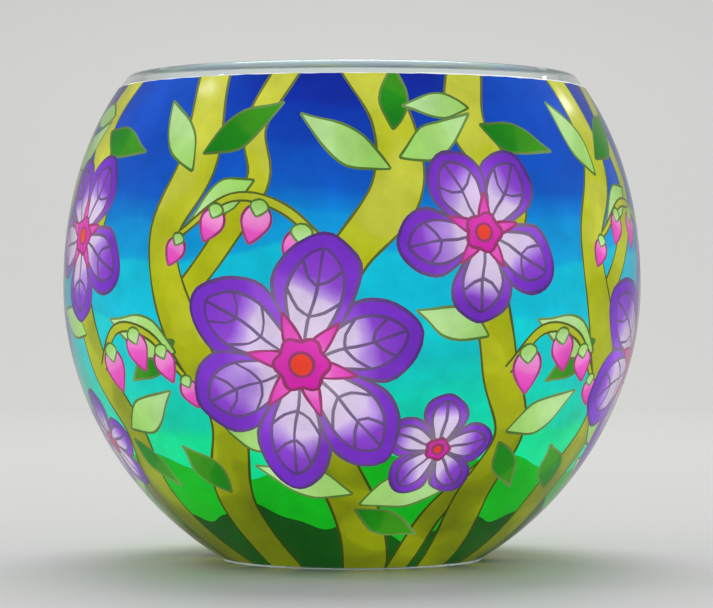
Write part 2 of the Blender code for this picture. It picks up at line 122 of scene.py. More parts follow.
def newGeometryTree(name, inputs, outputs):
    # inputs: (label, socket type, value or None), outputs: (label, socket type)
    tree = bpy.data.node_groups.new(name, "GeometryNodeTree")
    for label, kind, value in inputs:
        socket = tree.interface.new_socket(name=label, in_out="INPUT", socket_type="NodeSocket" + kind)
        if value is not None:
            socket.default_value = value
    for label, kind in outputs:
        tree.interface.new_socket(name=label, in_out="OUTPUT", socket_type="NodeSocket" + kind)
    return tree, addNode(tree, "NodeGroupInput").outputs


def newShapeTree(name, label, value):
    # the start of a tree that makes a piece: every one takes a mesh, a whole number, and what ends it
    inputs = [
        ("Geometry", "Geometry", None),
        (label, "Int", value),
        ("Merge Distance", "Float", 0.005 * mm),
        ("Material", "Material", None),
    ]
    return newGeometryTree(name, inputs, [("Geometry", "Geometry")])


def endShapeTree(tree, given, geometry):
    # the end of it: instances become real, points that meet are joined, and the piece gets its material
    real = addNode(tree, "GeometryNodeRealizeInstances", links={0: geometry})
    links = {0: real, "Distance": given["Merge Distance"]}
    joined = addNode(tree, "GeometryNodeMergeByDistance", links=links)
    finished = addNode(tree, "GeometryNodeSetMaterial", links={0: joined, "Material": given["Material"]})
    addNode(tree, "NodeGroupOutput", links={0: finished})
    return tree


# the wall's curve: once in Python for the turned pieces, once in nodes for the printed ones

globe = {
    "radius": 54.7 * mm,
    "height": 91.88 * mm,
    "widestHeight": 51.4 * mm,
    "footRadius": 23.9 * mm,  # where the wall's curve would reach the table
    "mouthRadius": 42.4 * mm,  # where it would reach the full height
    "lowerFullness": 1.89,  # 2 is an ellipse, more is squarer
    "upperFullness": 2.18,
    "wall": 3.0 * mm,
    "floor": 4.6 * mm,
    "footRounding": 1.0 * mm,
    "kickRadius": 17.0 * mm,
    "kickDepth": 1.0 * mm,
    "kickSlope": 1.2 * mm,
    "steps": 224,  # round the globe
    "insideSteps": 60,
    "lipSteps": 20,
    "outsideSteps": 70,
    "footSteps": 8,
}


def halfAxis(rise, endRadius, fullness):
    return rise / (1 - (endRadius / globe["radius"]) ** fullness) ** (1 / fullness)


globe["lowerAxis"] = halfAxis(globe["widestHeight"], globe["footRadius"], globe["lowerFullness"])
globe["upperAxis"] = halfAxis(
    globe["height"] - globe["widestHeight"], globe["mouthRadius"], globe["upperFullness"]
)


def wallAt(z):
    # radius of the wall's outside at height z, and its normal as (out, up)
    rise = z - globe["widestHeight"]
    side = "upper" if rise > 0 else "lower"
    axis, fullness = globe[side + "Axis"], globe[side + "Fullness"]
    share = abs(rise) / axis
    radius = globe["radius"] * (1 - share**fullness) ** (1 / fullness)
    out = (radius / globe["radius"]) ** (fullness - 1) / globe["radius"]
    up = math.copysign(share ** (fullness - 1) / axis, rise)
    length = math.hypot(out, up)
    return radius, out / length, up / length


def wallPoint(z, lift=0.0):
    # (radius, height) of the wall's outside at height z, moved along the normal by lift
    radius, out, up = wallAt(z)
    return Vector((radius + lift * out, z + lift * up))


def rowHeight(low, high, share):
    # height of a row between low and high: the rows stand closer together at the foot, where the wall slopes
    return high - (high - low) * math.sin(math.pi / 2 * (1 - share))


def wrapGroup():
    # node group: a place on a flat sheet (way round the widest ring, height, lift) to its place on the wall
    sizes = ["radius", "widestHeight", "lowerAxis", "upperAxis", "lowerFullness", "upperFullness"]
    tree, given = newGeometryTree(
        "wrap on the wall",
        [("sheet", "Vector", None)] + [(size, "Float", globe[size]) for size in sizes],
        [("place", "Vector")],
    )
    sheetPlace = addNode(tree, "ShaderNodeSeparateXYZ", links={0: given["sheet"]}).outputs
    known = {size: given[size] for size in sizes}
    known.update({"around": sheetPlace["X"], "height": sheetPlace["Y"], "lift": sheetPlace["Z"]})
    for result, operation, *values in (
        ("rise", "SUBTRACT", "height", "widestHeight"),
        ("isUpper", "GREATER_THAN", "rise", 0.0),
        ("axisGrowth", "SUBTRACT", "upperAxis", "lowerAxis"),
        ("axis", "MULTIPLY_ADD", "isUpper", "axisGrowth", "lowerAxis"),
        ("fullnessGrowth", "SUBTRACT", "upperFullness", "lowerFullness"),
        ("fullness", "MULTIPLY_ADD", "isUpper", "fullnessGrowth", "lowerFullness"),
        ("distance", "ABSOLUTE", "rise"),
        ("share", "DIVIDE", "distance", "axis"),
        ("filled", "POWER", "share", "fullness"),
        ("left", "SUBTRACT", 1.0, "filled"),
        ("root", "DIVIDE", 1.0, "fullness"),
        ("bulge", "POWER", "left", "root"),
        ("wallRadius", "MULTIPLY", "bulge", "radius"),
        ("less", "SUBTRACT", "fullness", 1.0),
        ("bulgeSlope", "POWER", "bulge", "less"),
        ("out", "DIVIDE", "bulgeSlope", "radius"),
        ("shareSlope", "POWER", "share", "less"),
        ("steepness", "DIVIDE", "shareSlope", "axis"),
        ("direction", "SIGN", "rise"),
        ("up", "MULTIPLY", "steepness", "direction"),
        ("outSquare", "MULTIPLY", "out", "out"),
        ("square", "MULTIPLY_ADD", "up", "up", "outSquare"),
        ("length", "SQRT", "square"),
        ("liftShare", "DIVIDE", "lift", "length"),
        ("finalRadius", "MULTIPLY_ADD", "out", "liftShare", "wallRadius"),
        ("finalHeight", "MULTIPLY_ADD", "up", "liftShare", "height"),
        ("turn", "DIVIDE", "around", "radius"),
        ("sine", "SINE", "turn"),
        ("cosine", "COSINE", "turn"),
        ("toCamera", "MULTIPLY", "cosine", -1.0),
        ("x", "MULTIPLY", "finalRadius", "sine"),
        ("y", "MULTIPLY", "finalRadius", "toCamera"),
    ):
        plain = {i: value for i, value in enumerate(values) if not isinstance(value, str)}
        linked = {i: known[value] for i, value in enumerate(values) if isinstance(value, str)}
        settings = {"operation": operation, "label": result, **plain}
        known[result] = addNode(tree, "ShaderNodeMath", settings, linked)
    links = {0: known["x"], 1: known["y"], 2: known["finalHeight"]}
    place = addNode(tree, "ShaderNodeCombineXYZ", links=links)
    addNode(tree, "NodeGroupOutput", links={"place": place})
    return tree


def makeWrapTree():
    # geometry tree: wraps a flat sheet on the wall and repeats it round the globe
    tree, given = newShapeTree("wrapped sheet", "Copies", 1)
    here = addNode(tree, "GeometryNodeInputPosition")
    wrapped = addNode(tree, "GeometryNodeGroup", {"node_tree": wrapGroup()}, {"sheet": here})
    sheetOnWall = addNode(tree, "GeometryNodeSetPosition", links={0: given["Geometry"], "Position": wrapped})
    spots = addNode(tree, "GeometryNodeMeshLine", {"Offset": (0, 0, 0)}, {"Count": given["Copies"]})
    number = addNode(tree, "GeometryNodeInputIndex")
    share = addNode(tree, "ShaderNodeMath", {"operation": "DIVIDE"}, {0: number, 1: given["Copies"]})
    angle = addNode(tree, "ShaderNodeMath", {"operation": "MULTIPLY", 1: math.tau}, {0: share})
    turn = addNode(tree, "ShaderNodeCombineXYZ", links={"Z": angle})
    links = {"Points": spots, "Instance": sheetOnWall, "Rotation": turn}
    copies = addNode(tree, "GeometryNodeInstanceOnPoints", links=links)
    return endShapeTree(tree, given, copies)


def makeTurnTree():
    # geometry tree: turns a profile about Z. Its points are (radius, 0, height), down the outer side
    tree, given = newShapeTree("turned piece", "Steps", 96)
    rows = addNode(tree, "GeometryNodeAttributeDomainSize", links={"Geometry": given["Geometry"]})
    ringPoints = addNode(tree, "ShaderNodeMath", {"operation": "ADD", 1: 1.0}, {0: given["Steps"]})
    links = {"Vertices X": rows.outputs["Point Count"], "Vertices Y": ringPoints}
    grid = addNode(tree, "GeometryNodeMeshGrid", links=links)
    number = addNode(tree, "GeometryNodeInputIndex")
    share = addNode(tree, "ShaderNodeMath", {"operation": "DIVIDE"}, {0: number, 1: ringPoints})
    row = addNode(tree, "ShaderNodeMath", {"operation": "FLOOR"}, {0: share})
    column = addNode(tree, "ShaderNodeMath", {"operation": "FLOORED_MODULO"}, {0: number, 1: ringPoints})
    turnShare = addNode(tree, "ShaderNodeMath", {"operation": "DIVIDE"}, {0: column, 1: given["Steps"]})
    angle = addNode(tree, "ShaderNodeMath", {"operation": "MULTIPLY", 1: math.tau}, {0: turnShare})
    here = addNode(tree, "GeometryNodeInputPosition")
    links = {"Geometry": given["Geometry"], "Value": here, "Index": row}
    point = addNode(tree, "GeometryNodeSampleIndex", {"data_type": "FLOAT_VECTOR"}, links)
    links = {"Vector": point, "Angle": angle}
    turned = addNode(tree, "ShaderNodeVectorRotate", {"rotation_type": "Z_AXIS"}, links)
    placed = addNode(tree, "GeometryNodeSetPosition", links={0: grid, "Position": turned})
    return endShapeTree(tree, given, placed)


wrapTree = makeWrapTree()
turnTree = makeTurnTree()


def shaped(name, mesh, tree, material, thickness=0.0, **values):
    # runs a geometry tree on a mesh and keeps the result as a plain mesh object
    source = newObject(name + " source", mesh)
    nodes = source.modifiers.new("shape", "NODES")
    nodes.node_group = tree
    values["Material"] = material
    for item in tree.interface.items_tree:
        if item.in_out == "INPUT" and item.name in values:
            nodes[item.identifier] = values[item.name]
    if thickness:
        solid = source.modifiers.new("thickness", "SOLIDIFY")
        solid.thickness = thickness
        solid.offset = -1.0
    bpy.context.view_layer.update()
    graph = bpy.context.evaluated_depsgraph_get()
    result = bpy.data.meshes.new_from_object(source.evaluated_get(graph))
    bpy.data.objects.remove(source, do_unlink=True)
    result.name = name
    result.materials.clear()
    result.materials.append(material)
    return newObject(name, result)


def keep(piece, body, replaced=(), sharpAngle=35):
    # the last step of every piece: its shading, its body and the CAD nodes that it stands for
    piece.data.shade_smooth()
    piece.data.set_sharp_from_angle(angle=math.radians(sharpAngle))
    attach(piece, body)
    if replaced:
        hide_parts(*replaced)
    print(piece.name, len(piece.data.polygons), "faces, on", body)


def turned(name, profile, material, steps):
    # a piece turned about Z from its profile's (radius, height)
    mesh = newMesh(name, [(radius, 0.0, height) for radius, height in profile])
    return shaped(name, mesh, turnTree, material, Steps=steps)


# the print, drawn on a flat sheet in millimetres: x round the widest ring, y the height

sheet = {
    "copies": 4,  # the picture repeats round the globe
    "lowEdge": 0.4,
    "topEdge": 89.12,
    "edgeWave": 0.07,
    "edgeTurns": (1.9, 0.53),  # radians a column, of the two waves in it
    "lift": 0.20,  # of the printed face above the glass
    "thickness": 0.05,
    "gridStep": 2.2,  # of the points inside the sheet, which let it bend with the wall
    "gridClearance": 0.4,  # of that step, from the nearest outline
    "rows": 56,
    "joinWithin": 0.0005,
    "flatWithin": 0.01,  # radians, for the points that the narrow inks don't need
    "sideClearance": 0.01,  # keeps the inside points off the sheet's two sides
    "slopeFollowed": (1.0, 90.0),  # heights between which motifs follow the wall's slope
    "narrowInks": ("stemLine", "leafLine", "petalLine", "pinkLine", "magenta"),
    "cell": 5.0,  # of the table of shapes that may cover a place
}
contour = {
    "step": 1.5,
    "finestStep": 0.4,
    "motifSteps": 12,  # at least, along a motif
    "circleSteps": 12,  # at least
    "width": 0.62,
    "waves": [(0.14, 0.41, 1), (0.09, 1.17, 2)],  # share of the width, radians a step, shift
    "phaseStep": 2.4,  # no two contours swell alike
    "sharpCorner": 38,  # degrees, from which a corner gets a round joint
    "jointSides": 8,
    "rise": 0.02,  # in level above its own shape
}
ring = math.tau * globe["radius"] / mm
tileWidth = ring / sheet["copies"]
shapes = []  # (ink, outline, level, tone), outlines counter-clockwise
contours = []  # the same, a small convex piece for each step of a line


def surfaceScale(y):
    # sheet millimetres for one millimetre on the glass, round the globe and up it
    low, high = sheet["slopeFollowed"]
    radius, out, _ = wallAt(min(max(y, low), high) * mm)
    return Vector((globe["radius"] / radius, out))


def spline(points, step=contour["step"]):
    # smooth line through the points, with a point about every step
    points = [Vector(p) for p in points]
    line = []
    for i, (b, c) in enumerate(zip(points, points[1:])):
        a = points[i - 1] if i else b * 2 - c
        d = points[i + 2] if i + 2 < len(points) else c * 2 - b
        slope, curve, twist = c - a, 2 * a - 5 * b + 4 * c - d, 3 * b - a - 3 * c + d
        steps = max(1, round((c - b).length / step))
        for t in (k / steps for k in range(steps)):
            line.append(0.5 * (2 * b + slope * t + curve * t**2 + twist * t**3))
    return [*line, points[-1]]


def addShape(ink, outline, level, tone=None, line=None, swell=1.0):
    # tone(x, y) gives the place in the ink's colour range, from 0 to 1. line is the ink of the contour
    shapes.append((ink, outline, level, tone))
    if line:
        addLine(line, outline, level, tone, swell, closed=True)


def addLine(ink, path, level, tone=None, swell=1.0, closed=False):
    # contour of uneven width: a four-sided piece for each step, and a round one at a sharp corner
    count = len(path)
    phase = len(shapes) * contour["phaseStep"]
    directions, scales, joints = [], [], []
    for here, ahead in zip(path, path[1:] + path[: 1 if closed else 0]):
        scale = surfaceScale(here.y)
        directions.append(Vector(((ahead.x - here.x) / scale.x, (ahead.y - here.y) / scale.y)).normalized())
    for i, here in enumerate(path):
        wave = sum(size * math.sin(i * turn + shift * phase) for size, turn, shift in contour["waves"])
        scales.append(surfaceScale(here.y) * contour["width"] / 2 * swell * (1 + wave))
    for i, here in enumerate(path):
        before, after = directions[i - 1], directions[i % len(directions)]
        isEnd = not closed and i in (0, count - 1)
        isCorner = not isEnd and before.angle(after) > math.radians(contour["sharpCorner"])
        joints.append(None if isCorner or isEnd else (before + after).normalized())
        if isCorner:
            turns = [math.tau * k / contour["jointSides"] for k in range(contour["jointSides"])]
            outline = [here + Vector((math.cos(a), math.sin(a))) * scales[i] for a in turns]
            contours.append((ink, outline, level + contour["rise"], tone))
    for i, along in enumerate(directions):
        corners = []
        for k in (i, (i + 1) % count):
            across = (joints[k] or along).orthogonal() * scales[k]
            corners += [path[k] + across, path[k] - across]
        outline = [corners[k] for k in convex_hull_2d(corners)]
        contours.append((ink, outline, level + contour["rise"], tone))


def placer(x, y, angle, length, width, bend=0.0):
    # turns a motif's (along, across), each from 0 to 1, into sheet places
    turn = Matrix.Rotation(math.radians(angle), 2)
    scale = surfaceScale(y)

    def place(along, across):
        spot = Vector((along * length, across * width + bend * length * along**2))
        spot.rotate(turn)
        return Vector((x, y)) + spot * scale

    return place


# half widths along a motif, as (along, across)
petalShape = [(0.0, 0.14), (0.25, 0.34), (0.55, 0.5), (0.8, 0.42), (0.95, 0.2), (1.0, 0.05)]
leafShape = [(0.0, 0.02), (0.12, 0.2), (0.36, 0.47), (0.6, 0.42), (0.84, 0.17), (1.0, 0.015)]
budShape = [(0.0, 0.13), (0.2, 0.43), (0.48, 0.5), (0.8, 0.27), (1.0, 0.04)]


def halfWidth(shape, along):
    for (s0, w0), (s1, w1) in zip(shape, shape[1:]):
        if along <= s1:
            return w0 + (w1 - w0) * (along - s0) / (s1 - s0)
    return 0.0


def motifOutline(place, shape, rnd=None, wobble=0.0, along=1.0, across=1.0):
    # closed outline: up one side to the tip and down the other, a little uneven. Small ones take finer steps
    fineStep = (place(1, 0) - place(0, 0)).length / contour["motifSteps"]
    step = min(contour["step"], max(contour["finestStep"], fineStep))
    sides = []
    for side in (-1, 1):
        points = []
        for s, w in shape:
            shake = 1 + (rnd.uniform(-wobble, wobble) if rnd else 0.0)
            points.append(place(s * along, side * w * across * shake))
        sides.append(spline(points, step))
    return sides[0] + sides[1][::-1]


def addMotif(ink, shape, place, level, line, swell=1.0, **uneven):
    addShape(ink, motifOutline(place, shape, **uneven), level, alongTone(place), line, swell)


def alongTone(place):
    # tone that rises from a motif's base to its tip
    base, tip = place(0, 0), place(1, 0)
    axis = (tip - base) / (tip - base).length_squared
    return lambda x, y: min(1.0, max(0.0, (Vector((x, y)) - base).dot(axis)))


def circle(x, y, radius, lobes=0, depth=0.0, step=0.8):
    # closed ring, scalloped if it has lobes
    count = max(contour["circleSteps"], round(math.tau * radius / step))
    points = []
    for a in (math.tau * i / count for i in range(count)):
        points.append(Vector((math.cos(a), math.sin(a))) * radius * (1 + depth * math.cos(lobes * a)))
    return [Vector((x, y)) + p * surfaceScale(y) for p in points]


flower = {
    "petalLean": 5,  # most degrees that a petal stands off its place
    "petalLengths": (0.84, 0.96),  # shortest and longest, as shares of the flower's own
    "petalStart": 0.1,
    "petalBend": 0.1,
    "edgeWobble": 0.08,
    "fieldWobble": 0.05,
    "fieldLength": 0.87,  # of the pale field inside a petal's edge
    "fieldWidth": 0.66,
    "fieldLine": 0.9,  # width of its contour, as a share of the others
    "midribFrom": 8,  # length of the shortest petal with a midrib
    "midribBow": 0.02,
    "midribTurns": 9,  # radians of that bow in a petal's length
    "veins": [(16, (0.3, 0.56)), (11, (0.46,))],  # petals longer than this have side veins from there
    "veinReach": 0.17,
    "veinShift": 0.02,  # the left vein of a pair reaches further by this, and the right one less far
    "veinCurl": 0.05,
    "veinLine": 0.85,
    "starFrom": 12,  # length of the flower that has a pink star between its petals
    "starLength": 0.42,
    "starWidth": 0.13,
    "starLine": 0.8,
    "heart": 0.2,
    "heartWave": 0.1,
    "heartStep": 0.7,
    "eye": 0.095,
    "eyeLine": 0.9,
    "levels": {"field": 0.2, "nextPetal": 0.3, "star": 3, "heart": 4, "eye": 5},
}


def drawPetal(x, y, angle, length, width, level, rnd):
    place = placer(x, y, angle, length, width, rnd.uniform(-flower["petalBend"], flower["petalBend"]))
    along, across = flower["fieldLength"], flower["fieldWidth"]
    fieldLevel = level + flower["levels"]["field"]
    uneven = {"rnd": rnd, "wobble": flower["edgeWobble"]}
    addMotif("petalEdge", petalShape, place, level, "petalLine", **uneven)
    uneven = {"rnd": rnd, "wobble": flower["fieldWobble"], "along": along, "across": across}
    addMotif("petal", petalShape, place, fieldLevel, "petalLine", flower["fieldLine"], **uneven)
    if length < flower["midribFrom"]:
        return
    # the midrib, in a slow bend, and the veins that leave it in pairs
    bow, turns = flower["midribBow"], flower["midribTurns"]
    midrib = [place(s, bow * math.sin(turns * s)) for s in (0.0, 0.25, 0.5, along)]
    addLine("petalLine", spline(midrib), fieldLevel, alongTone(place), flower["fieldLine"])
    for s in next((starts for least, starts in flower["veins"] if length > least), ()):
        for side in (1, -1):
            end = s + flower["veinReach"] + flower["veinShift"] * side
            reach = side * across * halfWidth(petalShape, end / along)
            vein = [place(s, 0.0), place(s + flower["veinCurl"], reach / 2), place(end, reach)]
            addLine("petalLine", spline(vein), fieldLevel, alongTone(place), flower["veinLine"])


def drawFlower(x, y, petals, length, width, turn, level, rnd):
    levels = flower["levels"]
    for i in range(petals):
        angle = turn + 360 * i / petals + rnd.uniform(-flower["petalLean"], flower["petalLean"])
        base = placer(x, y, angle, 1.0, 1.0)(flower["petalStart"] * length, 0.0)
        petalLength = length * rnd.uniform(*flower["petalLengths"])
        drawPetal(*base, angle, petalLength, width, level + levels["nextPetal"] * i, rnd)
    if length > flower["starFrom"]:
        size, across = length * flower["starLength"], length * flower["starWidth"]
        for i in range(petals):
            place = placer(x, y, turn + 360 * (i + 0.5) / petals, size, across)
            addMotif("pink", budShape, place, level + levels["star"], "pinkLine", flower["starLine"])
    heart = circle(x, y, length * flower["heart"], petals, flower["heartWave"], flower["heartStep"])
    addShape("magenta", heart, level + levels["heart"], lambda a, b: 0.5 + 2 * (b - y) / length, "pinkLine")
    eye = circle(x, y, length * flower["eye"])
    addShape("red", eye, level + levels["eye"], None, "pinkLine", flower["eyeLine"])


leaf = {
    "bend": 0.16,  # most, either way
    "wobble": 0.1,
    "line": 0.75,
    "nextLevel": 0.04,  # a later leaf lies over an earlier one
}


def drawLeaf(x, y, angle, length, width, ink, level, rnd):
    place = placer(x, y, angle, length, width, rnd.uniform(-leaf["bend"], leaf["bend"]))
    addMotif(ink, leafShape, place, level, "leafLine", leaf["line"], rnd=rnd, wobble=leaf["wobble"])


stem = {
    "edgeWave": 0.12,  # of the half width
    "leftTurn": 0.34,  # radians of that wave in one step
    "rightTurn": 0.28,
    "mostShift": 6,  # radians, by which that wave may start later
    "toneHeight": 90,  # where the ink's colour range ends
}


def drawStem(points, width, level, rnd, ink="stem", swell=0.75, taper=0.0):
    # a band of uneven width along a smooth path, with a contour on both sides
    path = spline(points)
    left, right = [], []
    phase = rnd.uniform(0, stem["mostShift"])
    last = len(path) - 1
    wave = stem["edgeWave"]
    for i, here in enumerate(path):
        scale = surfaceScale(here.y)
        ahead = path[min(i + 1, last)] - path[max(i - 1, 0)]
        across = Vector((ahead.x / scale.x, ahead.y / scale.y)).normalized().orthogonal() * scale
        across *= width / 2 * (1 - taper * i / last)
        left.append(here + across * (1 + wave * math.sin(i * stem["leftTurn"] + phase)))
        right.append(here - across * (1 + wave * math.sin(i * stem["rightTurn"] + 2 * phase)))

    def tone(x, y):
        return y / stem["toneHeight"]

    addShape(ink, right + left[::-1], level, tone)
    addLine("stemLine", left, level, tone, swell)
    addLine("stemLine", right, level, tone, swell)
    return path


spray = {
    "stalkWidth": 1.9,
    "stalkTaper": 0.4,
    "stalkLine": 0.7,
    "firstBud": 0.22,  # share of the way along the stalk
    "budLength": 8.2,
    "budShrink": 2.8,  # how much shorter the last bud is
    "budWidth": 0.74,
    "budHang": 0.8,  # below the stalk
    "budLean": 12,  # degrees
    "budLeanGrowth": 10,
    "budSwing": 5,
    "budLine": 0.8,
    "capLength": 0.42,
    "capWidth": 0.46,
    "capHang": 0.1,
    "capLine": 0.65,
}


def drawSpray(points, level, rnd, buds, side):
    # thin arching stalk with a row of hanging buds
    path = drawStem(points, spray["stalkWidth"], level, rnd, "twig", spray["stalkLine"], spray["stalkTaper"])
    for i in range(buds):
        share = i / (buds - 1)
        spot = path[round((spray["firstBud"] + (1 - spray["firstBud"]) * share) * (len(path) - 1))]
        size = spray["budLength"] - spray["budShrink"] * share
        lean = side * (spray["budLean"] + spray["budLeanGrowth"] * share)
        angle = -90 + lean + rnd.uniform(-spray["budSwing"], spray["budSwing"])
        bud = placer(spot.x, spot.y - spray["budHang"], angle, size, size * spray["budWidth"])
        addMotif("pink", budShape, bud, level + 1, "pinkLine", spray["budLine"])
        capLength, capWidth = size * spray["capLength"], size * spray["capWidth"]
        cap = placer(spot.x, spot.y - spray["capHang"], angle, capLength, capWidth)
        addMotif("lime", budShape, cap, level + 2, "leafLine", spray["capLine"])


hills = {
    "points": 60,
    "bottom": -2.0,
    "ranges": [  # ink, level, height, and waves as (size, how many, shift)
        ("hill", -2, 20.5, [(1.9, 1, 0.6), (1.1, 2, 2.1), (0.35, 5, 0.4)]),
        ("darkHill", -1, 9.2, [(2.3, 1, 3.6), (1.2, 3, 0.9), (0.4, 7, 2.0)]),
    ],
}


def drawHills():
    # two rows of hills along the foot, which run on from one copy of the picture to the next
    for ink, level, top, waves in hills["ranges"]:
        xs = [tileWidth * (i / hills["points"] - 0.5) for i in range(hills["points"] + 1)]
        ridge = []
        for x in xs:
            wave = sum(size * math.sin(k * math.tau * x / tileWidth + p) for size, k, p in waves)
            ridge.append(Vector((x, top + wave)))
        bottom = [Vector((x, hills["bottom"])) for x in (xs[0], xs[-1])]
        addShape(ink, [*bottom, *ridge[::-1]], level)


picture = {
    "seed": 11,
    "stems": [  # path, width, level
        ([(-27, -3), (-30, 12), (-25, 27), (-32, 44), (-36, 60), (-30, 74), (-32, 92)], 7.2, 1),
        ([(5, -3), (1, 12), (-6, 26), (-7, 40), (-1, 56), (8, 68), (8, 80), (2, 92)], 8.0, 2),
        ([(36, -3), (30, 13), (34, 26), (28, 38), (25, 52), (30, 66), (23, 80), (27, 92)], 6.8, 3),
        ([(-33, 48), (-24, 59), (-17, 70), (-19, 80), (-13, 92)], 4.4, 0),
        ([(31, 20), (21, 10), (17, -3)], 4.2, 0),
    ],
    "leaves": [  # x, y, angle, length, width, ink, level
        (-34, 40, 158, 17, 7.5, "lime", 5),
        (-34, 42, 208, 14, 6.5, "green", 4),
        (-26, 27, -18, 15, 6.5, "lime", 5),
        (-30, 15, 116, 12, 6, "green", 4),
        (-31, 72, 122, 16, 6.5, "lime", 5),
        (-29, 75, 32, 17, 6.5, "green", 4),
        (-18, 70, 205, 14, 5.8, "lime", 5),
        (2, 13, 27, 19, 7.8, "lime", 5),
        (1, 12, -33, 14, 6, "green", 4),
        (0, 15, 163, 17, 6.8, "lime", 5),
        (7, 72, 152, 19, 7, "lime", 5),
        (9, 74, 22, 16, 6.4, "lime", 6),
        (8, 79, 82, 13, 5.4, "green", 4),
        (33, 26, 22, 16, 6.6, "lime", 5),
        (32, 24, -58, 12, 5, "green", 4),
        (25, 43, 158, 14, 6.2, "lime", 5),
        (24, 83, 172, 12, 5.4, "lime", 5),
        (26, 80, -24, 15, 6, "green", 4),
    ],
    "sprays": [  # path, level, buds, side that they lean to
        ([(-3, 57), (-12, 65), (-22, 67), (-32, 61)], 7, 4, -1),
        ([(30, 37), (37, 44), (46, 43), (53, 36)], 7, 4, 1),
    ],
    "flowers": [  # x, y, petals, length, width, turn, level
        (-9, 38, 6, 23, 14.5, 18, 10),
        (24, 61, 5, 16.5, 11.5, 50, 10),
        (18, 23, 5, 10.5, 7.6, 12, 10),
    ],
}


def drawPicture():
    rnd = random.Random(picture["seed"])
    drawHills()
    for path, width, level in picture["stems"]:
        drawStem(path, width, level, rnd)
    for number, (*place, level) in enumerate(picture["leaves"]):
        drawLeaf(*place, level + leaf["nextLevel"] * number, rnd)
    for path, level, buds, side in picture["sprays"]:
        drawSpray(path, level, rnd, buds, side)
    for place in picture["flowers"]:
        drawFlower(*place, rnd)


def extent(points):
    xs, ys = [p.x for p in points], [p.y for p in points]
    return min(xs), max(xs), min(ys), max(ys)


def isInside(point, outline):
    crossings = 0
    for a, b in zip(outline, outline[1:] + outline[:1]):
        if (a.y > point.y) != (b.y > point.y):
            crossings += point.x < a.x + (b.x - a.x) * (point.y - a.y) / (b.y - a.y)
    return crossings % 2 == 1


def visiblePieces():
    # the shapes, and those pieces of contour that no higher shape covers
    pieces = list(shapes)
    covers = [(extent(outline), outline, level) for _, outline, level, _ in shapes]
    for piece in contours:
        _, corners, level, _ = piece
        left, right, low, high = extent(corners)
        isHidden = False
        for (coverLeft, coverRight, coverLow, coverHigh), outline, coverLevel in covers:
            isUnder = level < coverLevel and coverLeft < left and right < coverRight
            if isUnder and coverLow < low and high < coverHigh and not isHidden:
                isHidden = all(isInside(corner, outline) for corner in corners)
        if not isHidden:
            pieces.append(piece)
    return pieces


def sheetPoints():
    # the sheet's outline, and rows of points inside it so that it bends with the wall
    columns = 2 * round(tileWidth / sheet["gridStep"] / 2)
    step = tileWidth / columns
    low, top = sheet["lowEdge"], sheet["topEdge"]
    rows = sheet["rows"]
    border, grid = [], []
    for i in range(columns + 1):
        x = i * step - tileWidth / 2
        wave = sheet["edgeWave"] * math.prod(math.sin(i % columns * turn) for turn in sheet["edgeTurns"])
        border = [Vector((x, low)), *border, Vector((x, top + wave))]
        shares = [(j + 0.5 * (i % 2)) / rows for j in range(1, rows)]
        grid += [Vector((x, rowHeight(low, top, share))) for share in shares]
    return border[columns::-1] + border[: columns : -1], grid


def regions(triangles, edges, sources):
    # groups of triangles that no outline parts
    sides = {}
    for number, triangle in enumerate(triangles):
        for a, b in zip(triangle, triangle[1:] + triangle[:1]):
            sides.setdefault((min(a, b), max(a, b)), []).append(number)
    outlined = {(min(edge), max(edge)) for edge, source in zip(edges, sources) if source}
    neighbours = [[] for _ in triangles]
    for side, numbers in sides.items():
        if len(numbers) == 2 and side not in outlined:
            neighbours[numbers[0]].append(numbers[1])
            neighbours[numbers[1]].append(numbers[0])
    seen = set()
    for start in range(len(triangles)):
        group = [] if start in seen else [start]
        seen.add(start)
        for number in group:
            fresh = [n for n in neighbours[number] if n not in seen]
            seen.update(fresh)
            group += fresh
        if group:
            yield group


